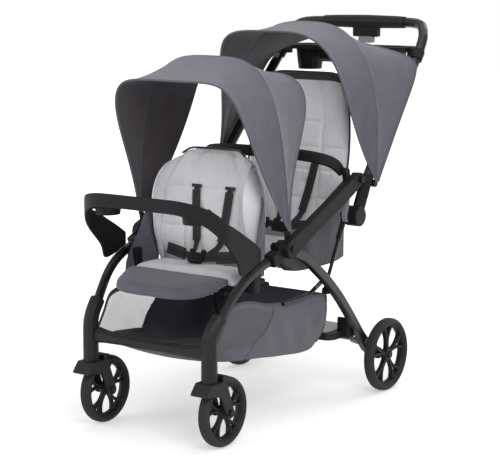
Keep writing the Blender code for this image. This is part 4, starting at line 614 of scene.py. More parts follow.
def walled(piece: Object, thick: float = CLOTH_WALL, inside: int = 0) -> Object:
    """Give a sheet its thickness, and the finish that is inside places further on to its inner face."""
    wall = piece.modifiers.new("cloth", "SOLIDIFY")
    wall.thickness, wall.offset, wall.material_offset = thick, 0.0, inside
    wall.use_quality_normals = bool(inside)
    return baked(piece)


def subdivided(piece: Object) -> Object:
    """Smooth a piece with one live subdivision."""
    smooth = piece.modifiers.new("fine", "SUBSURF")
    smooth.levels = smooth.render_levels = 1
    return piece


def points_of(mesh: bpy.types.Mesh) -> Array:
    """A mesh's points."""
    flat = np.empty(len(mesh.vertices) * 3)
    mesh.vertices.foreach_get("co", flat)
    return flat.reshape(-1, 3)


def put_points(mesh: bpy.types.Mesh, points: Array) -> None:
    """Move a mesh's points."""
    mesh.vertices.foreach_set("co", points.ravel())
    mesh.shade_smooth()
    mesh.update()


def stuffed(shape: Shape, name: str, finishes: Sequence[Finish], cap: float, back: Callable[[Array], tuple],
            sewn: Callable[[Array], Array], sideways: float = 1.0, ahead: Array | None = None) -> Object:
    """Blow a closed cover up with Cloth, hold each point within a cap, keep it off its board, and sew it.

    The cover is remeshed to even voxels, simulated under pressure with no gravity, and each point's move is
    cut to the cap's length. A point never passes the board: its height over it stays at least BOARD_GAP.

    Args:
        shape: the closed cover, a little smaller than the pad.
        name: the piece's name.
        finishes: its finishes.
        cap: the farthest that a point may move, in metres.
        back: gives each point's height over the board that the pad lies on, and the board's normal.
        sewn: gives each point's step when seams and tufts are sewn in.
        sideways: the share that is kept of a move along the board.
        ahead: faces that look away from it take the second finish.

    Returns:
        The pad, with one subdivision left live.
    """
    made = shape.piece(name, finishes, None)
    remesh = made.modifiers.new("even", "REMESH")
    remesh.mode, remesh.voxel_size = "VOXEL", VOXEL
    mesh = baked(made).data
    start = moved = points_of(mesh)
    cloth = made.modifiers.new("stuffing", "CLOTH")
    cloth.settings.use_pressure = True
    cloth.settings.uniform_pressure_force = PRESSURE
    cloth.settings.effector_weights.gravity = 0
    cloth.settings.quality = 4
    cloth.point_cache.frame_start, cloth.point_cache.frame_end = 1, FRAMES
    for k in range(1, FRAMES + 1):
        bpy.context.scene.frame_set(k)
    moved = points_of(made.evaluated_get(bpy.context.evaluated_depsgraph_get()).to_mesh())
    made.modifiers.clear()
    bpy.context.scene.frame_set(1)
    step = moved - start
    _, normal = back(start - SHIFT)
    outward = (step * normal).sum(axis=1, keepdims=True) * normal
    step = outward + (step - outward) * sideways
    length = np.linalg.norm(step, axis=1, keepdims=True)
    moved = start + step * np.minimum(1, cap / np.maximum(length, 1e-9))
    height, normal = back(moved - SHIFT)
    put_points(mesh, moved + normal * np.maximum(0, BOARD_GAP - height)[:, None])
    if ahead is not None:
        facing = np.empty(len(mesh.polygons) * 3)
        mesh.polygons.foreach_get("normal", facing)
        mesh.polygons.foreach_set("material_index", (facing.reshape(-1, 3) @ ahead < -0.7).astype(np.int32))
    moved = points_of(mesh)
    put_points(mesh, moved + sewn(moved - SHIFT))
    return subdivided(made)


def band(path: Array, half: float, thick: float, face: Sequence[float]) -> Shape:
    """A flat strap on a path, its broad side towards face, with U from -1 to 1 across it and V along it.

    Its section is the superellipse with half width half and half thickness thick / 2.
    """
    tangent = unit(np.gradient(path, axis=0))
    out = np.broadcast_to(np.asarray(face, float), tangent.shape)
    out = unit(out - tangent * (out * tangent).sum(axis=1, keepdims=True))
    wide = np.cross(tangent, out)
    profile = rounded_box_profile(half, thick / 2, 6.0, 20)
    raised = profile[:, 1:2] + thick / 2
    made = closed_loft(path[:, None] + wide[:, None] * profile[:, 0:1] + out[:, None] * raised)
    along = run_length(path)
    uv = np.stack(np.broadcast_arrays(profile[None, :, 0] / half, along[:, None]), axis=-1).reshape(-1, 2)
    return replace(made, uv=np.vstack([uv, [[0, along[0]], [0, along[-1]]]]))


@dataclass
class BackPad:
    """A quilted seat back on a straight board line, with side wings that curl forwards.

    The cover's half width at height v is half (1 - 0.12 v^8) (1 - narrow max(0, v)^2), its fullness is
    crown + (1 - crown) (1 - u^6) (1 - v^6), and the wings come forward by curl ((|u| - flat) / (1 - flat))^1.6.
    A seam is an axis, a place and a depth. A tuft is a pair of shares.
    """
    name: str
    foot: Pair
    top: Pair
    half: float
    thick: float
    narrow: float
    curl: float = 0.0
    crown: float = 0.5
    flat: float = 0.45
    groove: Pair = (0.0045, 0.016)
    tuft: Pair = (0.011, 0.03)
    seams: tuple[tuple[str, float, float], ...] = ()
    tufts: Rows = ()
    wing_edge: Rows = ()

    def axes(self) -> tuple[Array, Array, Array, float]:
        """The board's foot, its unit directions up and out, and its length."""
        foot = np.array([0.0, *self.foot])
        line = np.array([0.0, *self.top]) - foot
        length = float(np.linalg.norm(line))
        up = line / length
        return foot, up, np.array([0.0, -up[2], up[1]]), length

    def bend(self, u: Array, v: Array) -> Array:
        """How far the wings come forward."""
        past = np.maximum(0, np.abs(u) - self.flat) / (1 - self.flat)
        return self.curl * past ** 1.6 * np.clip((v + 0.82) / 0.35, 0, 1)

    def width(self, u: Array, v: Array) -> Array:
        """The cover's x at u and v."""
        return u * self.half * (1 - 0.12 * v ** 8) * (1 - self.narrow * np.maximum(0, v) ** 2)

    def at(self, u: Array, v: Array, out: Array) -> Array:
        """A point over the board at shares u and v, out metres in front of its back plane."""
        foot, up, ahead, length = self.axes()
        t = (v * (1 - 0.04 * u ** 8) + 1) / 2 * length
        return (foot + up * t[..., None] + ahead * (out + self.bend(u, v))[..., None]
                + ACROSS * self.width(u, v)[..., None])

    def fullness(self, u: Array, v: Array) -> Array:
        """The share of the pad's thickness at u and v."""
        edge = np.maximum(np.abs(u), np.abs(v))
        full = self.crown + (1 - self.crown) * (1 - u ** 6) * (1 - v ** 6)
        return full * (1 - 0.55 * np.clip((edge - 0.93) / 0.07, 0, 1))

    def shares(self, points: Array) -> tuple[Array, Array, Array]:
        """The shares u and v of points, and their distance in front of the back plane, wings taken off."""
        foot, up, ahead, length = self.axes()
        v = (points - foot) @ up / length * 2 - 1
        u = points[:, 0] / np.maximum(self.width(np.ones_like(v), np.clip(v, -1, 1)), 0.05)
        return u, v, (points - foot) @ ahead - self.bend(np.clip(u, -1, 1), v)

    def cover(self) -> Shape:
        """The closed cover: a front sheet and a back sheet joined round the edge."""
        u, v = np.meshgrid(np.linspace(-1, 1, 49), np.linspace(-1, 1, 57))
        return between(self.at(u, v, self.thick * PAD_SHARE * self.fullness(u, v)),
                       self.at(u, v, np.full_like(u, PAD_BASE)))

    def sewn(self, points: Array) -> Array:
        """Steps towards the board: grooves along the seams, round tufts, and fine puckers between them."""
        _, _, ahead, length = self.axes()
        u, v, out = self.shares(points)
        depth = np.zeros(len(points))
        for axis, place, deep in self.seams:
            d = (u - place) * self.half if axis == "u" else (v - place) * length / 2
            depth = np.maximum(depth, deep * (ridge(d, self.groove[0]) + 0.35 * ridge(d, self.groove[1])))
        for a, b in self.tufts:
            d = np.hypot((u - a) * self.half, (v - b) * length / 2)
            depth = depth + 0.0045 * ridge(d, self.tuft[0]) + 0.002 * ridge(d, self.tuft[1])
        wave = np.sin(points[:, 0] * 310 + 2 * np.sin(points[:, 2] * 75))
        pucker = 0.0007 * wave * ridge(v % 0.25 - 0.125, 0.09)
        return -ahead * ((depth + pucker) * np.clip(out / self.thick, 0, 1))[:, None]

    def edge(self, out: float) -> Array:
        """The outline's points, for a binding, out metres in front of the board."""
        t = np.linspace(0, 1, 96)
        turns = [0, 0.28, 0.36, 0.64, 0.72, 1]
        u = np.interp(t, turns, [-1, -1, -0.93, 0.93, 1, 1])
        v = np.interp(t, turns, [-0.9, 0.90, 1, 1, 0.90, -0.9])
        return smooth_line(self.at(u, v, np.full_like(u, out)), 140)

    def wing(self, side: Side) -> Shape:
        """One side of the bucket: a padded sheet from the pad's edge to its own front edge.

        A point at share s from back to front is the mix of the edges, moved out by 12 mm sin(pi s) with small
        folds, and its thickness is 2.5 mm + 5.5 mm (1 - (2s - 1)^4).
        """
        front = smooth_line(self.wing_edge, 41)
        foot, up, ahead, length = self.axes()
        share = np.clip(((front - foot) @ up) / length, 0.02, 0.965)
        u = np.where(share > 0.86, 0.90 - (share - 0.86) * 2.0, 0.925)
        rear = self.at(u, share * 2 - 1, np.full_like(u, self.thick * 0.30))
        s = np.linspace(0, 1, 21)[None, :]
        grid = rear[:, None] * (1 - s[..., None]) + front[:, None] * s[..., None]
        out = (0.012 + 0.0012 * np.sin(26 * np.linspace(0, 1, 41))[:, None]) * arch(s)
        normal = unit(np.cross(np.gradient(grid, axis=1), np.gradient(grid, axis=0)))
        normal = normal * np.sign(normal[..., 0:1])
        half = (0.0025 + 0.0055 * (1 - (2 * s - 1) ** 4)) / 2
        outer, inner = (grid + normal * (out + d)[..., None] for d in (half, -half))
        return closed_loft(np.concatenate([outer, inner[:, ::-1]], axis=1)).on(side)

    def make(self, body: str) -> None:
        """Build the pad in place of the solid of its body's name, with its side wings and its binding."""
        ahead = self.axes()[2]

        def over(points: Array) -> tuple[Array, Array]:
            """Height over the board, with the wings' curl taken off."""
            _, _, out = self.shares(points)
            return out, ahead

        pad = stuffed(self.cover(), self.name, [PALE, SLATE_DARK], PAD_CAP, over, self.sewn, 0.15, ahead)
        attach(pad, body)
        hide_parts(body)
        line = self.edge(self.thick * 0.36)
        if self.wing_edge:
            line = line[int(0.37 * len(line)): int(0.63 * len(line))]
            for side in Side:
                wing = subdivided(self.wing(side).piece(self.name + "_wing_" + side.label, [PALE], None, 60))
                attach(wing, body)
        rod(line, 0.0032, 10).piece(self.name + "_binding", [TRIM], body)
        log.info("%s: %d faces", self.name, len(pad.data.polygons))


@dataclass
class SeatPad:
    """A flat seat cushion on its board, crowned by (1 - u^6)(1 - v^6), with two sewn channels."""
    name: str
    y_range: Pair
    z: float
    half: float
    thick: float

    def make(self, replaced: str) -> None:
        """Build, stuff and sew the cushion, and stand it for its solid."""
        low, high = self.y_range
        u, v = np.meshgrid(np.linspace(-1, 1, 41), np.linspace(-1, 1, 21))
        full = 0.55 + 0.45 * (1 - u ** 6) * (1 - v ** 6)
        full = full * (1 - 0.5 * np.clip((np.maximum(np.abs(u), np.abs(v)) - 0.9) / 0.1, 0, 1))
        x = u * self.half * (1 - 0.03 * v ** 6)
        y = (low + high) / 2 + v * (high - low) / 2 * (1 - 0.04 * u ** 8)
        top = np.stack([x, y, self.z + self.thick * 0.93 * full], axis=-1)
        base = np.stack([x, y, np.full_like(x, self.z + PAD_BASE)], axis=-1)

        def sewn(points: Array) -> Array:
            """Two channels along the seat and one across it."""
            d = np.abs(np.abs(points[:, 0]) - 0.42 * self.half)
            across = np.abs(points[:, 1] - low * 0.35 - high * 0.65)
            depth = 0.005 * ridge(d, 0.004) + 0.003 * ridge(across, 0.004)
            share = np.clip((points[:, 2] - self.z) / self.thick, 0, 1)
            return -UP * (depth * share)[:, None]

        pad = stuffed(between(top, base), self.name, [PALE], PAD_CAP,
                      lambda p: (p[:, 2] - self.z, UP), sewn)
        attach(pad, "frame")
        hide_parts(replaced)


HEM_ROWS = (0.012, 0.058, 0.066, 0.074, 0.082, 0.09)
HEM_SHARE = 0.086
HEM_STEP = 0.0016
SEAM_RISE = 0.0011
SEAM_HALF = 0.005
DROOP = 0.004
EDGE_SPAN = math.radians(88.5)


@dataclass
class Bow:
    """One canopy bow: r = (|cos a / reach|^n + |sin a / half|^n)^(-1/n), x = r sin a, rho = r cos a.

    The bow's plane leans from apex to side degrees with (|x| / half)^turn, and near the hinges its sides
    widen to the hinge clips with (1 - rho / reach)^widen.
    """
    apex: float
    side: float
    reach: float
    half: float
    square: float
    turn: float
    widen: float

    def points(self, tip: Pair, tip_half: float, a: Array) -> Array:
        """The bow's points at angles a, in radians from the middle."""
        n = self.square
        r = (np.abs(np.cos(a) / self.reach) ** n + np.abs(np.sin(a) / self.half) ** n) ** (-1 / n)
        x, rho = r * np.sin(a), r * np.cos(a)
        share = np.abs(x) / self.half
        low = np.maximum(0, 1 - rho / self.reach) ** self.widen
        x = x + np.sign(a) * (tip_half - self.half) * low * share
        lean = np.radians(self.apex + (self.side - self.apex) * share ** self.turn)
        return np.stack([x, tip[0] + rho * np.cos(lean), tip[1] + rho * np.sin(lean)], axis=-1)


@dataclass
class Canopy:
    """A two-panel canopy over three bows that meet at the hinges, with bound hems and a felled middle seam."""
    name: str
    tip: Pair
    tip_half: float
    bows: tuple[Bow, Bow, Bow]
    front_body: str
    rear_body: str
    squash_axis: Point
    squash_anchor: Point
    keep: float = 0.45
    columns: int = 141
    rows: int = 26

    def panel(self, first: Bow, second: Bow, hem_first: bool, hem_last: bool) -> tuple[Shape, Array]:
        """The cloth between two bows, and its grid of points.

        A point is the mix of the bows' points at the same angle, drawn in by DROOP sin(pi t), raised by
        SEAM_RISE on the bows and by HEM_STEP on a doubled hem, and creased by sines that grow to the hinges.
        """
        a = np.linspace(-EDGE_SPAN, EDGE_SPAN, self.columns)
        p, q = first.points(self.tip, self.tip_half, a), second.points(self.tip, self.tip_half, a)
        t = np.unique(np.r_[np.linspace(0, 1, self.rows), HEM_ROWS])
        if hem_last:
            t = np.unique(np.r_[t, 1 - np.array(HEM_ROWS)])
        rows = len(t)
        share = t[:, None]
        grid = p[None] * (1 - share[..., None]) + q[None] * share[..., None]
        span = np.linalg.norm(q - p, axis=-1)
        centre = np.array([0.0, self.tip[0], self.tip[1]])
        inward = centre - grid
        inward[..., 0] = -grid[..., 0] * 0.6
        inward = unit(inward)
        droop = DROOP * arch(share) * np.minimum(span / 0.15, 1)
        along = np.linspace(-1, 1, self.columns)[None, :]
        crease = 0.0030 * arch(share) * np.sin(9 * along + 7 * share) * np.abs(along) ** 1.5
        fine = np.sin(31 * along * (1 + 0.2 * share) + 4 * share)
        crease = crease + 0.0024 * arch(share) ** 2 * fine * np.abs(along) ** 2
        near_first, near_last = span * share, span * (1 - share)
        raised = SEAM_RISE * (ridge(near_first, SEAM_HALF) + ridge(near_last, SEAM_HALF))
        for doubled, place in ((hem_first, share), (hem_last, 1 - share)):
            if doubled:
                raised = raised + HEM_STEP * np.clip((HEM_SHARE - place) / 0.020, 0, 1)
        grid = grid + inward * (droop + crease * np.minimum(span / 0.1, 1) - raised)[..., None]
        uv = np.stack([np.broadcast_to(run_length(p), near_first.shape), near_first], axis=-1)
        shape = sheet_of(grid, uv=uv)
        row, column = rows // 2, self.columns // 2
        middle = grid[row, column]
        normal = np.cross(grid[row, column + 1] - middle, grid[row + 1, column] - middle)
        return (shape.flipped() if normal @ (middle - centre) < 0 else shape), grid

    def make(self) -> None:
        """Build both panels, their hems and the seam."""
        spans = ((self.bows[0], self.bows[1], self.front_body, "_front_panel", True, False),
                 (self.bows[1], self.bows[2], self.rear_body, "_rear_panel", False, True))
        for first, second, body, part, hem_first, hem_last in spans:
            shape, grid = self.panel(first, second, hem_first, hem_last)
            # The inner faces take the darker finish, which is painted shade inside the hood.
            cloth = walled(shape.piece(self.name + part + "_cloth", [SLATE, HOOD_INSIDE_SHADE], None, 60), inside=1)
            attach(cloth, body)
            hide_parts(self.name + part)
            width = float(run_length(grid[0])[-1])
            depth = float(np.linalg.norm(np.diff(grid, axis=0), axis=2).sum(axis=0).max())
            min(shape.area(), width * depth)
            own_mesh(cloth)
            edges = [(0, 0.0032, 10), (3, 0.0009, 8)] if hem_first else []
            edges += [(-1, 0.0030, 10)] if hem_last else []
            edges += [] if hem_first else [(0, 0.0020, 8)]
            whole = joined([rod(smooth_line(grid[row], 220), radius, sides) for row, radius, sides in edges])
            hem = whole.piece(self.name + part + "_binding", [SLATE], body)
            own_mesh(hem)
            log.info("%s%s: %.3f m of bow, %.3f square metres", self.name, part, width, shape.area())


# Sub-assemblies --------------------------------------------------------------------------------------------

def mirrored(half: Sequence[Pair]) -> list[Pair]:
    """A (radius, x) profile and its mirror image past its last point, which lies at x = 0."""
    return list(half) + [(r, -x) for r, x in half[-2::-1]]


@dataclass
class Wheel:
    """A tyre on a rim with five twin spokes, at one end and side of the stroller.

    Its place is (track, y, z), with track from the middle plane.
    """
    end: str
    side: Side
    radius: float
    place: Point
    width: float = 0.035
    tyre_depth: float = 0.017
    rim_width: float = 0.024
    hub_radius: float = 0.017
    spokes: int = 5

    @property
    def body(self) -> str:
        """The body that it turns with."""
        return f"{self.end}_wheel_{self.side.label}"

    @property
    def centre(self) -> Point:
        """The middle of the hub."""
        return (self.side.value * self.place[0], *self.place[1:])

    def tyre(self) -> Shape:
        """The tyre turned from a half-round section with three shallow grooves."""
        rim = self.radius - self.tyre_depth
        half = self.width / 2
        t = np.linspace(-1, 1, 61)
        crown = self.radius - self.tyre_depth * 0.62 * np.abs(t) ** 3.2
        for place in (-0.42, 0.0, 0.42):
            crown = crown - 0.0011 * np.exp(-((t - place) / 0.035) ** 4)
        outer = np.stack([crown, t * half], axis=1)
        bed = rim - 0.0015
        inner = [(rim, half * 0.80), (bed, half * 0.60), (bed, -half * 0.60), (rim, -half * 0.80)]
        return turned(np.vstack([outer, inner]), self.centre, 96)

    def rim(self) -> Shape:
        """Rim ring with lips, hub with a stepped cap, and spokes that widen towards the ring."""
        rim = self.radius - self.tyre_depth - 0.0004
        half, r = self.rim_width / 2, self.hub_radius
        ring = mirrored([(rim, half * 0.60), (rim - 0.0015, half), (rim - 0.0045, half * 1.02),
                         (rim - 0.0062, half * 0.80), (rim - 0.0085, half * 0.40), (rim - 0.0090, 0.0)])
        hub = mirrored([(0.0066, half + 0.0008), (r * 0.62, half + 0.0010), (r * 0.70, half - 0.0008),
                        (r * 0.90, half - 0.0010), (r, half - 0.0032), (r * 1.02, 0.0)])
        whole = turned(ring, self.centre, 96) + turned(hub, self.centre, 64)
        t = np.linspace(0, 1, 15)
        profile = rounded_box_profile(1.0, 1.0, 4.0, 16)
        rho = r * 0.80 + (rim - 0.0075 - r * 0.80) * t
        wide = 0.0030 + 0.0024 * t ** 2 + 0.0012 * (1 - t) ** 3
        deep = half * (0.82 - 0.26 * arch(t))
        for k, side in product(range(self.spokes), (-1, 1)):
            spread = np.radians(5.0 + 6.5 * t ** 1.3) * side
            angle = math.radians(90 + 360 / self.spokes * k) + spread * (0.35 + 0.65 * t) * 1.15
            path = np.stack([np.zeros_like(t), rho * np.cos(angle), rho * np.sin(angle)], axis=1)
            across = np.cross(unit(np.gradient(path, axis=0)), ACROSS)
            rings = (path[:, None] + across[:, None] * (profile[:, 0:1] * wide[:, None, None])
                     + ACROSS * (profile[:, 1:2] * deep[:, None, None]))
            whole = whole + closed_loft(rings).moved(self.centre)
        return whole

    def make(self) -> None:
        """Build both pieces in place of their solids."""
        tyre = self.tyre().piece(self.body + "_foam_tyre", [TYRE], self.body, 50)
        rim = self.rim().piece(self.body + "_spoked_rim", [BLACK_LOW], self.body, 40)
        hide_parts(f"{self.end}_tyre_{self.side.label}")
        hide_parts(f"{self.end}_rim_{self.side.label}")
        log.info("%s: tyre %d and rim %d faces", self.body, len(tyre.data.polygons), len(rim.data.polygons))


@dataclass
class Harness:
    """Shoulder straps with sleeves, waist pads, crotch strap and buckle of one seat."""
    name: str
    back: BackPad
    body: str
    lean: float
    shoulders: Rows
    waist: Rows
    buckle: Point
    crotch: Rows
    tilt: float = -38.0

    def spot(self, x: float, share: float, out: float) -> Array:
        """A point at x, at a share of the board's height, out metres in front of its back plane."""
        foot, up, ahead, length = self.back.axes()
        return foot + up * share * length + ahead * out + np.array([x, 0.0, 0.0])

    def make(self) -> None:
        """Build the straps and the buckle in place of the plain solid."""
        ahead = self.back.axes()[2]
        straps, pads = [], []
        for side in Side:
            s = side.value
            path = smooth_line([self.spot(self.lean * share + x * s, share, out)
                                for x, share, out in self.shoulders], 60)
            waist = smooth_line([self.spot(x * s, share, out) for x, share, out in self.waist], 40)
            top = path[0] + ahead * 0.0005
            reach = np.array([0.017, 0, 0])
            straps += [band(path, 0.0095, 0.0016, ahead), band(waist, 0.0100, 0.0016, ahead)]
            pads += [band(path[3:42] + ahead * 0.0006, 0.0135, 0.0040, ahead),
                     band(waist[12:], 0.0165, 0.0060, ahead),
                     band(smooth_line([top - reach, top + reach], 8), 0.0045, 0.0022, ahead)]
        crotch = smooth_line([self.spot(x, share, out) for x, share, out in self.crotch], 24)
        straps += [band(crotch, 0.0125, 0.0020, ahead)]
        webbing = joined(straps).piece(self.name + "_straps", [STRAP], self.body, 50)
        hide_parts(self.name)
        joined(pads).piece(self.name + "_sleeves", [STRAP], self.body, 50)
        ears = [pebble((0.019 * s, -0.001, 0.0165), (0.0075, 0.0048, 0.010), 5.0, 12) for s in (-1, 1)]
        whole = joined([pebble((0, 0, 0), (0.024, 0.0075, 0.016), 5.0),
                        pebble((0, -0.0065, 0.001), (0.011, 0.0035, 0.008), 4.0, 14)] + ears)
        turn = np.array(Matrix.Rotation(math.radians(self.tilt), 3, "X"))
        whole = replace(whole, points=whole.points @ turn.T + self.spot(*self.buckle))
        whole.piece(self.name + "_buckle", [BLACK], self.body, 40)
        log.info("%s: straps and buckle", self.name)


@dataclass
class FrontSeat:
    """The front seat: pads, padded lip, side wings and harness."""
    half: float = 0.188
    y_range: Pair = (-0.345, -0.215)
    z: float = 0.418
    lip_half: float = 0.1720
    lip_reach: Pair = (0.060, 0.092)
    back: BackPad = field(default_factory=lambda: BackPad(
        "front_back_pad", (-0.186, 0.4183), (-0.145, 0.765), 0.188, 0.026, 0.42, curl=0.030,
        seams=(("u", -0.52, 0.0055), ("u", 0.52, 0.0055), ("v", 0.34, 0.004), ("v", -0.30, 0.003)),
        tufts=((-0.24, 0.62), (0.24, 0.62), (-0.24, 0.0), (0.24, 0.0)),
        wing_edge=((0.160, -0.205, 0.436), (0.158, -0.218, 0.468), (0.157, -0.238, 0.520), (0.156, -0.257, 0.575),
                   (0.156, -0.264, 0.625), (0.154, -0.256, 0.672), (0.148, -0.230, 0.708), (0.136, -0.192, 0.733),
                   (0.122, -0.168, 0.742))))

    def lip(self) -> Shape:
        """The padded apron: a D-shaped cushion in front of the seat.

        At k from 0 at its back edge to 1 at its front, y is the back edge less the reach k, and the middle falls
        by 12 mm + 26 mm k^2. Its thickness is (24 mm + 8 mm d k)(0.35 + 0.65 (1 - k^10)^(1/2))(0.72 + 0.28 d),
        with d = 1 - |u|^5 for the rounding of its plan.
        """
        u = np.linspace(-1, 1, 57)[:, None]
        k = np.sin(np.linspace(0, math.pi / 2, 23))[None, :]
        rounded = 1 - np.abs(u) ** 5
        x = u * self.lip_half * (1 - 0.05 * k ** 4)
        y = self.y_range[0] + 0.0012 - (self.lip_reach[0] + self.lip_reach[1] * rounded) * k
        close = np.sqrt(np.maximum(0, 1 - k ** 10))
        thick = (0.024 + 0.008 * rounded * k) * (0.35 + 0.65 * close) * (0.72 + 0.28 * rounded)
        middle = self.z + 0.0256 - 0.012 - 0.026 * k ** 2 + 0 * u
        top = np.stack([x, y, middle + thick / 2], axis=-1)
        under = np.stack([x, y + 0.002 * k, middle - thick / 2], axis=-1)[:, ::-1]
        return closed_loft(np.concatenate([top, under], axis=1))

    def wing(self) -> Shape:
        """The left side's slate wing under the tray arm."""
        rear = smooth_line([(0.186, -0.204, 0.430), (0.186, -0.202, 0.480), (0.186, -0.200, 0.540),
                            (0.184, -0.198, 0.600), (0.176, -0.196, 0.650)], 31)
        front = smooth_line([(0.1985, -0.340, 0.424), (0.202, -0.330, 0.452), (0.2035, -0.305, 0.485),
                             (0.204, -0.270, 0.530), (0.201, -0.236, 0.600)], 31)
        return draped(rear, front, 25, 0.006, (0.0015, 5, 7))

    def make(self) -> None:
        """Build the seat."""
        self.back.make("front_backrest")
        SeatPad("front_seat_cushion", (self.y_range[0] + 0.003, self.y_range[1] - 0.0005), self.z + 0.0003,
                self.half - 0.0035, 0.034).make("front_seat_pad")

        def lip_height(points: Array) -> tuple[Array, Array]:
            """Room behind the lip: it stays in front of the seat cushion."""
            return self.y_range[0] + 0.0016 - points[:, 1], np.array([0.0, -1.0, 0.0])

        def sewn(points: Array) -> Array:
            """A seam 14 mm inside the front edge."""
            u = np.clip(points[:, 0] / self.lip_half, -1, 1)
            reach = self.lip_reach[0] + self.lip_reach[1] * (1 - np.abs(u) ** 5)
            depth = 0.0016 * ridge(self.y_range[0] - reach + 0.014 - points[:, 1], 0.003)
            return np.array([0.0, 0.3, -1.0]) * (depth * (points[:, 2] > 0.40))[:, None]

        lip = stuffed(self.lip(), "front_seat_apron", [SLATE], 0.003, lip_height, sewn)
        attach(lip, "frame")
        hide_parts("front_seat_lip")
        slate = self.wing()
        for side in Side:
            cloth = walled(slate.on(side).piece("front_seat_wing_" + side.label, [SLATE], None, 60))
            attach(cloth, "frame")
            size = math.sqrt(slate.area()) * 1.25
            slate.area()
            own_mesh(cloth)
        Harness("front_harness", self.back, "front_backrest", 0.0,
                ((0.0585, 0.690, 0.0278), (0.055, 0.55, 0.0292), (0.047, 0.36, 0.0300), (0.040, 0.22, 0.0370),
                 (0.020, 0.122, 0.078)),
                ((0.018, 0.122, 0.084), (0.045, 0.130, 0.071), (0.090, 0.145, 0.052), (0.135, 0.160, 0.0415)),
                (0.0, 0.120, 0.090), ((0.0, 0.112, 0.090), (0.0, 0.102, 0.098), (0.0, 0.1005, 0.112))).make()
        log.info("front seat done")


@dataclass
class ChildTray:
    """The child's tray: one band from leg to leg round a shallow pan with two cup wells.

    The band runs through stations (x, y, top, bottom) and their mirror images. The pan's top falls by
    24 mm (|x| - 0.11)^2 / 0.089^2 towards its ends, and each cup well, at (x, y, radius, depth), is a pit with
    a rounded rim.
    """
    thick: float = 0.0075
    pan_z: float = 0.6500
    stations: Rows = (
        (0.0, -0.532, 0.674, 0.637), (0.060, -0.532, 0.674, 0.637), (0.120, -0.5315, 0.6735, 0.6365),
        (0.155, -0.528, 0.671, 0.632), (0.185, -0.5165, 0.665, 0.622), (0.210, -0.498, 0.6545, 0.604),
        (0.2300, -0.473, 0.636, 0.578), (0.2390, -0.447, 0.613, 0.552), (0.2395, -0.420, 0.600, 0.524),
        (0.2395, -0.398, 0.588, 0.498), (0.2395, -0.387, 0.582, 0.466), (0.2395, -0.365, 0.569, 0.4645),
        (0.2395, -0.342, 0.556, 0.470), (0.2395, -0.318, 0.541, 0.4800), (0.2395, -0.2955, 0.526, 0.4878))
    cup: tuple[float, float, float, float] = (0.150, -0.468, 0.036, 0.040)

    def band(self) -> Shape:
        """The band: a superellipse of the stations' height and the band's thickness, carried through them."""
        right = [(-x, y, top, low + (0.0008 if y > -0.36 else 0.0)) for x, y, top, low in self.stations[:0:-1]]
        line = smooth_line(right + list(self.stations), 181)
        path = np.stack([line[:, 0], line[:, 1], line[:, 2:].mean(axis=1)], axis=1)
        flat = path * np.array([1.0, 1.0, 0.0])
        along = unit(np.gradient(flat, axis=0))
        outward = np.stack([along[:, 1], -along[:, 0], np.zeros(len(along))], axis=1)
        profile = rounded_box_profile(self.thick / 2, 1.0, 7.0, 28)
        half = (line[:, 2] - line[:, 3]) / 2
        centre = path - outward * (self.thick / 2)
        lift = UP * (profile[:, 1] * half[:, None])[..., None]
        return closed_loft(centre[:, None] + outward[:, None] * profile[:, 0:1] + lift)

    def pan(self) -> Shape:
        """The pan: a top sheet and an underside 3.2 mm below it, joined round the edge."""
        u, v = np.meshgrid(np.linspace(-1, 1, 221), np.linspace(0, 1, 65))
        edge = np.asarray(self.stations)[:8]
        back = -0.424 - 0.012 * np.abs(u) ** 3 - 0.010 * (1 - u * u)
        x = u * 0.2170
        front = np.interp(np.abs(x), edge[:, 0], edge[:, 1]) + 0.004
        y = front + (back - front) * v
        droop = 0.024 * (np.maximum(0, np.abs(x) - 0.11) / 0.089) ** 2
        cup_x, cup_y, radius, depth = self.cup
        away = np.hypot(np.abs(x) - cup_x, y - cup_y)
        pit = np.clip((radius + 0.002 - away) / 0.005, 0, 1)
        pit = pit * pit * (3 - 2 * pit)
        rim = 0.0022 * ridge(away - radius - 0.0045, 0.003)
        lip = 0.002 * np.exp(-(1 - v) * 9)
        top = np.stack([x, y, self.pan_z + rim + (lip - droop) * (1 - pit) - depth * pit], axis=-1)
        return between(top, top - np.array([0.0, 0.0, 0.0032]))

    def make(self) -> None:
        """Build the tray in place of its plain solid."""
        tray = (self.band() + self.pan()).piece("child_tray_shell", [BLACK], "child_tray", 40)
        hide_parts("child_tray")
        log.info("child tray: %d faces", len(tray.data.polygons))


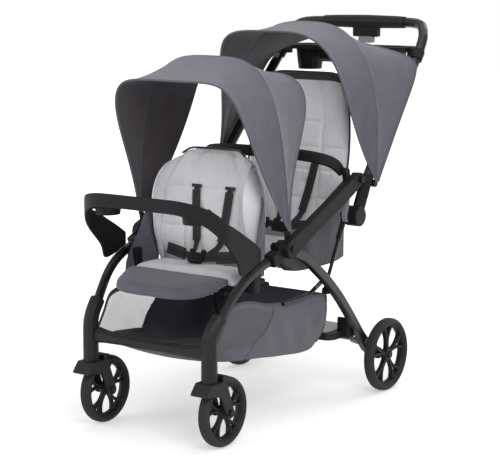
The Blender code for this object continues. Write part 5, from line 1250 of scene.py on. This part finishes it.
@dataclass
class RearSeat:
    """The rear seat: pads, dark head band, side panels and harness."""
    half: float = 0.190
    y_range: Pair = (-0.020, 0.190)
    z: float = 0.440
    back: BackPad = field(default_factory=lambda: BackPad(
        "rear_back_pad", (0.205, 0.4403), (0.298, 0.958), 0.180, 0.026, 0.22,
        seams=(("u", -0.50, 0.005), ("u", 0.50, 0.005), ("v", 0.14, 0.004), ("v", -0.12, 0.003),
               ("v", -0.45, 0.003), ("v", 0.43, 0.004)),
        tufts=((-0.24, -0.28), (0.24, -0.28), (-0.24, 0.02), (0.24, 0.02))))

    def side_panel(self) -> Shape:
        """The left side's cloth panel: a sheet from the seat tube up to the bar and back to the backrest."""
        low = smooth_line([(0.1925, -0.150, 0.445), (0.1935, -0.060, 0.421), (0.1935, 0.060, 0.415),
                           (0.1930, 0.150, 0.416), (0.1900, 0.205, 0.424)], 45)
        high = smooth_line([(0.2080, -0.130, 0.505), (0.2080, -0.060, 0.540), (0.2080, 0.030, 0.585),
                            (0.2060, 0.110, 0.625), (0.1900, 0.215, 0.660)], 45)
        return draped(low, high, 23, 0.004, (0.0022, 17, 3))

    def make(self) -> None:
        """Build the seat."""
        self.back.make("rear_backrest")
        SeatPad("rear_seat_cushion", (self.y_range[0] + 0.0045, self.y_range[1] - 0.0145), self.z + 0.0003,
                self.half - 0.0035, 0.034).make("rear_seat_pad")
        u, v = np.meshgrid(np.linspace(-0.98, 0.98, 41), np.linspace(0.905, 0.985, 9))
        head = self.back.at(u, v, self.back.thick * PAD_SHARE * self.back.fullness(u, v) + 0.0050)
        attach(walled(sheet_of(head).piece("rear_head_band", [TRIM], None, 60), 0.0026), "rear_backrest")
        panel = self.side_panel()
        for side in Side:
            cloth = walled(panel.on(side).piece("rear_side_panel_" + side.label, [SLATE_DARK], None, 60))
            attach(cloth, "frame")
            panel.area()
        Harness("rear_harness", self.back, "rear_backrest", 0.055,
                ((0.0525, 0.500, 0.0280), (0.050, 0.40, 0.0292), (0.044, 0.27, 0.0300), (0.036, 0.17, 0.0350),
                 (0.018, 0.095, 0.064)),
                ((0.016, 0.100, 0.067), (0.045, 0.110, 0.054), (0.090, 0.118, 0.041), (0.140, 0.124, 0.0355)),
                (0.0, 0.098, 0.071), ((0.0, 0.090, 0.071), (0.0, 0.076, 0.080), (0.0, 0.071, 0.095))).make()
        log.info("rear seat done")


@dataclass
class Basket:
    """The shopping basket: a lofted trough with net windows in the front third of each side.

    Its wall at depth share t is x = half + 6 mm sin(pi t) + (floor - half) t^2.5, and its floor sags by
    12 mm (1 - u^2). Its stations (y, rim z, floor z, floor half width) are joined by a smooth curve.
    """
    half: float = 0.2048
    stations: Rows = (
        (-0.4602, 0.272, 0.250, 0.150), (-0.430, 0.318, 0.226, 0.160), (-0.400, 0.366, 0.212, 0.168),
        (-0.350, 0.378, 0.202, 0.172), (-0.290, 0.372, 0.194, 0.176), (-0.215, 0.352, 0.185, 0.178),
        (-0.155, 0.345, 0.176, 0.178), (-0.090, 0.343, 0.168, 0.178), (-0.010, 0.340, 0.158, 0.176),
        (0.050, 0.334, 0.158, 0.174), (0.085, 0.333, 0.172, 0.172))
    net_end: float = -0.235
    wall: int = 29
    floor: int = 39
    sag: float = 0.012

    def surface(self) -> tuple[Array, Array]:
        """The trough's grid of points, and its share of depth: 0 at the rim and 1 at the floor."""
        line = np.asarray(self.stations)
        y = np.linspace(line[0, 0], line[-1, 0], 97)
        dense = smooth_line(line, 400)
        order = np.argsort(dense[:, 0])
        top, bottom, floor = (np.interp(y, dense[order, 0], dense[order, k]) for k in (1, 2, 3))
        t, ones = np.linspace(0, 1, self.wall), np.ones(self.wall)
        depth = np.r_[t, np.ones(self.floor), t[::-1]]
        across = np.r_[ones, np.linspace(1, -1, self.floor + 2)[1:-1], -ones]
        place = np.arange(len(depth))
        on_floor = (place >= self.wall) & (place < self.wall + self.floor)
        top, bottom, floor, y = (line[:, None] for line in (top, bottom, floor, y))
        wall_x = self.half + 0.006 * arch(depth) + (floor - self.half) * depth ** 2.5
        x = np.where(depth < 1, wall_x, floor) * across
        z = np.where(on_floor, bottom + self.sag * across ** 2, top + (bottom + self.sag - top) * depth)
        y = np.broadcast_to(y, x.shape)
        wave = 0.0016 * np.sin(y * 70 + z * 40) * arch(np.minimum(depth, 0.999))
        return np.stack([x + np.sign(x) * wave, y, z], axis=-1), np.broadcast_to(depth, x.shape)

    def net_edge(self, depth: Array) -> Array:
        """The y where the net ends, at a share of depth."""
        return self.net_end + 0.05 * np.cos(depth * math.pi)

    def make(self) -> None:
        """Build the cloth and its bindings."""
        grid, depth = self.surface()
        uv = np.stack([grid[..., 1], np.broadcast_to(run_length(grid[40]), depth.shape)], axis=-1)
        y, deep = grid[:-1, :-1, 1], depth[:-1, :-1]
        window = (y < self.net_edge(deep)) & (deep > 0.10) & (deep < 0.78) & (y > -0.452)
        shape = replace(sheet_of(grid, uv=uv), looks=window.astype(int).ravel()).flipped() + self.ends(grid)
        cloth = walled(shape.piece("basket_cloth", [SLATE, NET_CLOTH, SLATE_DARK], None, 60), 0.0014)
        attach(cloth, "frame")
        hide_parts("basket")
        area = shape.area()
        lines = [(grid[:, 0], 120, 0.0034, 10), (grid[:, -1], 120, 0.0034, 10), (grid[0], 120, 0.0030, 10),
                 (grid[-1], 120, 0.0030, 10)]
        for first in (0, self.wall + self.floor):
            rows = [int(np.argmin(np.abs(grid[:, 0, 1] - self.net_edge(depth[0, k]))))
                    for k in range(first, first + self.wall)]
            lines.append((grid[rows, np.arange(first, first + self.wall)], 60, 0.0017, 8))
        rims = joined([rod(smooth_line(line, count), radius, sides) for line, count, radius, sides in lines])
        binding = rims.piece("basket_binding", [SLATE_DARK], "frame")
        for part in (cloth, binding):
            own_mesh(part)
        log.info("basket: %.3f square metres", area)

    def ends(self, grid: Array) -> Shape:
        """The front and rear walls, as ruled sheets between the two sides of the end rings."""
        def wall(ring: Array) -> Shape:
            """Join each left point to its right partner."""
            left, right = ring[: len(ring) // 2 + 1], ring[::-1][: len(ring) // 2 + 1]
            s = np.linspace(0, 1, 25)[:, None, None]
            made = left * (1 - s) + right * s
            return sheet_of(made, uv=made[..., [0, 2]])
        return wall(grid[0]) + wall(grid[-1]).flipped()


def both(*stems: str) -> tuple[str, ...]:
    """The left and right nodes of each stem."""
    return tuple(f"{stem}_{side.label}" for stem in stems for side in Side)


@dataclass
class Dressing:
    """Finishes for the solids that stay, from the table of node to finish."""
    table: tuple[tuple[Finish, tuple[str, ...]], ...] = (
        (BLACK_LOW, both("caster_housing", "caster_fork", "front_axle", "swivel_lock", "rear_axle")
         + ("front_crossbar", "standing_platform")),
        (BLACK, both("side_bar", "handle_hub", "hub_bolt", "handle_bolt")
         + ("trigger_housing", "parent_tray", "belly_bar", "front_seat_base", "rear_seat_base")),
        (PAINT, both("front_leg", "rear_leg", "strut") + ("handle_tube",)),
        (GREY, both("latch_lever") + ("fold_trigger", "brake_bar")),
        (DECK, ("platform_deck",)),
        (FOAM, ("handle_grip",)),
    )

    def make(self) -> None:
        """Put each finish into its nodes' slots."""
        for finish, names in self.table:
            for name in names:
                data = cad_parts[name].data
                if not data.materials:
                    data.materials.append(finish.material())
                for k in range(len(data.materials)):
                    data.materials[k] = finish.material()
        log.info("solids dressed")


AMBIENT = 0.42


@dataclass
class Studio:
    """Floor, backdrop light, lamps and the camera at the photograph's place."""
    azimuth: float = 35.2277
    elevation: float = 9.6942
    distance: float = 4.5914
    focal_pixels: float = 1564.8657
    frame_width: int = 500
    offset: Pair = (1.6086, -0.3792)
    target_height: float = 0.5

    def camera(self) -> None:
        """Place the camera: target + distance (sin a cos e, -cos a cos e, sin e)."""
        data = bpy.data.cameras.new("photo_camera")
        data.sensor_width = 36.0
        data.lens = self.focal_pixels * data.sensor_width / self.frame_width
        data.shift_x, data.shift_y = -self.offset[0] / self.frame_width, self.offset[1] / self.frame_width
        data.clip_end = 60.0
        eye = bpy.data.objects.new("photo_camera", data)
        bpy.context.scene.collection.objects.link(eye)
        a, e = math.radians(self.azimuth), math.radians(self.elevation)
        target = Vector((0.0, float(SHIFT[1]), self.target_height))
        back = Vector((math.sin(a) * math.cos(e), -math.cos(a) * math.cos(e), math.sin(e)))
        eye.location = target + back * self.distance
        eye.rotation_euler = back.to_track_quat("Z", "Y").to_euler()
        bpy.context.scene.camera = eye

    def floor(self) -> None:
        """A pale floor that keeps the shadow and shows white to the camera."""
        u, v = np.meshgrid(np.linspace(-14, 14, 3), np.linspace(-14, 14, 3))
        shape = sheet_of(np.stack([u, v, np.zeros_like(u)], axis=-1) - SHIFT)
        finish = Finish("pale_floor", (0.80, 0.80, 0.80), 0.9)
        _, n, shader, place = finish.base()
        pale = n.mix(n.noise(place, 3.0), tone(finish.color), tone(finish.color, 1.025))
        rays = n.add("LightPath").outputs
        seen = n.math("MAXIMUM", rays["Is Camera Ray"], rays["Is Glossy Ray"])
        flat = n.add("VectorMath", operation="MULTIPLY", i0=place, i1=(1.0, 1.0, 0.0)).outputs[0]
        far = n.add("VectorMath", operation="LENGTH", i0=flat).outputs["Value"]
        glow = n.ranged(far, 0.9, 2.4, AMBIENT, 1.0)
        n.fill(shader, Base_Color=pale, Emission_Color=WHITE, Emission_Strength=n.math("MULTIPLY", seen, glow))
        shape.piece("floor", [finish], None)

    def world(self) -> None:
        """White to camera, glossy and transmission rays, and a soft even light to the rest."""
        world = bpy.data.worlds.new("studio")
        bpy.context.scene.world = world
        world.use_nodes = True
        n = Nodes(world.node_tree)
        rays = n.add("LightPath").outputs
        first = n.math("MAXIMUM", rays["Is Camera Ray"], rays["Is Transmission Ray"])
        seen = n.math("MAXIMUM", first, n.math("MULTIPLY", rays["Is Glossy Ray"], 0.35))
        n.fill(world.node_tree.nodes["Background"], Color=WHITE, Strength=n.ranged(seen, 0.0, 1.0, AMBIENT, 1.0))

    def lamp(self, name: str, place: Point, size: float, power: float) -> None:
        """A square soft light that looks at the middle of the stroller."""
        data = bpy.data.lights.new(name, "AREA")
        data.energy, data.size = power, size
        made = bpy.data.objects.new(name, data)
        bpy.context.scene.collection.objects.link(made)
        made.location = place
        aim = Vector(place) - Vector((0, 0, 0.55))
        made.rotation_euler = aim.to_track_quat("Z", "Y").to_euler()

    def make(self) -> None:
        """Set the studio up."""
        bpy.context.scene.view_settings.view_transform = "Standard"
        self.camera()
        self.floor()
        self.world()
        for name, place, size, power in (
                ("key", (2.6, -2.2, 2.6), 1.8, 62.0), ("fill", (-2.4, -3.0, 1.8), 2.4, 34.0),
                ("rear", (0.8, 3.0, 2.4), 2.0, 30.0), ("top", (0.0, 0.0, 3.4), 2.6, 34.0)):
            self.lamp(name, place, size, power)


def main() -> None:
    """Build every sub-assembly, and report each."""
    logging.basicConfig(level=logging.INFO, format="%(name)s: %(message)s")
    Studio().make()
    Dressing().make()
    for side in Side:
        Wheel("front", side, 0.0964, (0.206, FRONT_AXLE_Y, 0.097)).make()
        Wheel("rear", side, 0.111, (0.2705, 0.326, 0.111)).make()
    front = (Bow(114.6, 116.8, 0.4538, 0.2225, 6.2, 7.7, 3), Bow(90.8, 92.4, 0.4721, 0.2453, 3.4, 4.2, 1.8),
             Bow(70.3, 61.1, 0.446, 0.2053, 7.5, 5.3, 3.2))
    Canopy("front_canopy", (-0.191, 0.556), 0.262, front, "front_canopy", "frame",
           (0, 0, 1), (0, 0, 0.556), 0.42).make()
    rear = (Bow(108.3, 103.2, 0.4612, 0.2223, 4.25, 5.8, 3.2), Bow(82.3, 77.4, 0.4658, 0.2711, 2.75, 6.1, 2.8),
            Bow(71.3, 51.3, 0.4408, 0.2812, 13.6, 1, 2))
    Canopy("rear_canopy", (0.222, 0.648), 0.2915, rear, "rear_canopy", "handle",
           (0, -0.729, 0.684), (0, 0.222 + float(SHIFT[1]), 0.648), 0.40).make()
    FrontSeat().make()
    ChildTray().make()
    RearSeat().make()
    Basket().make()


if __name__ == "__main__":
    main()
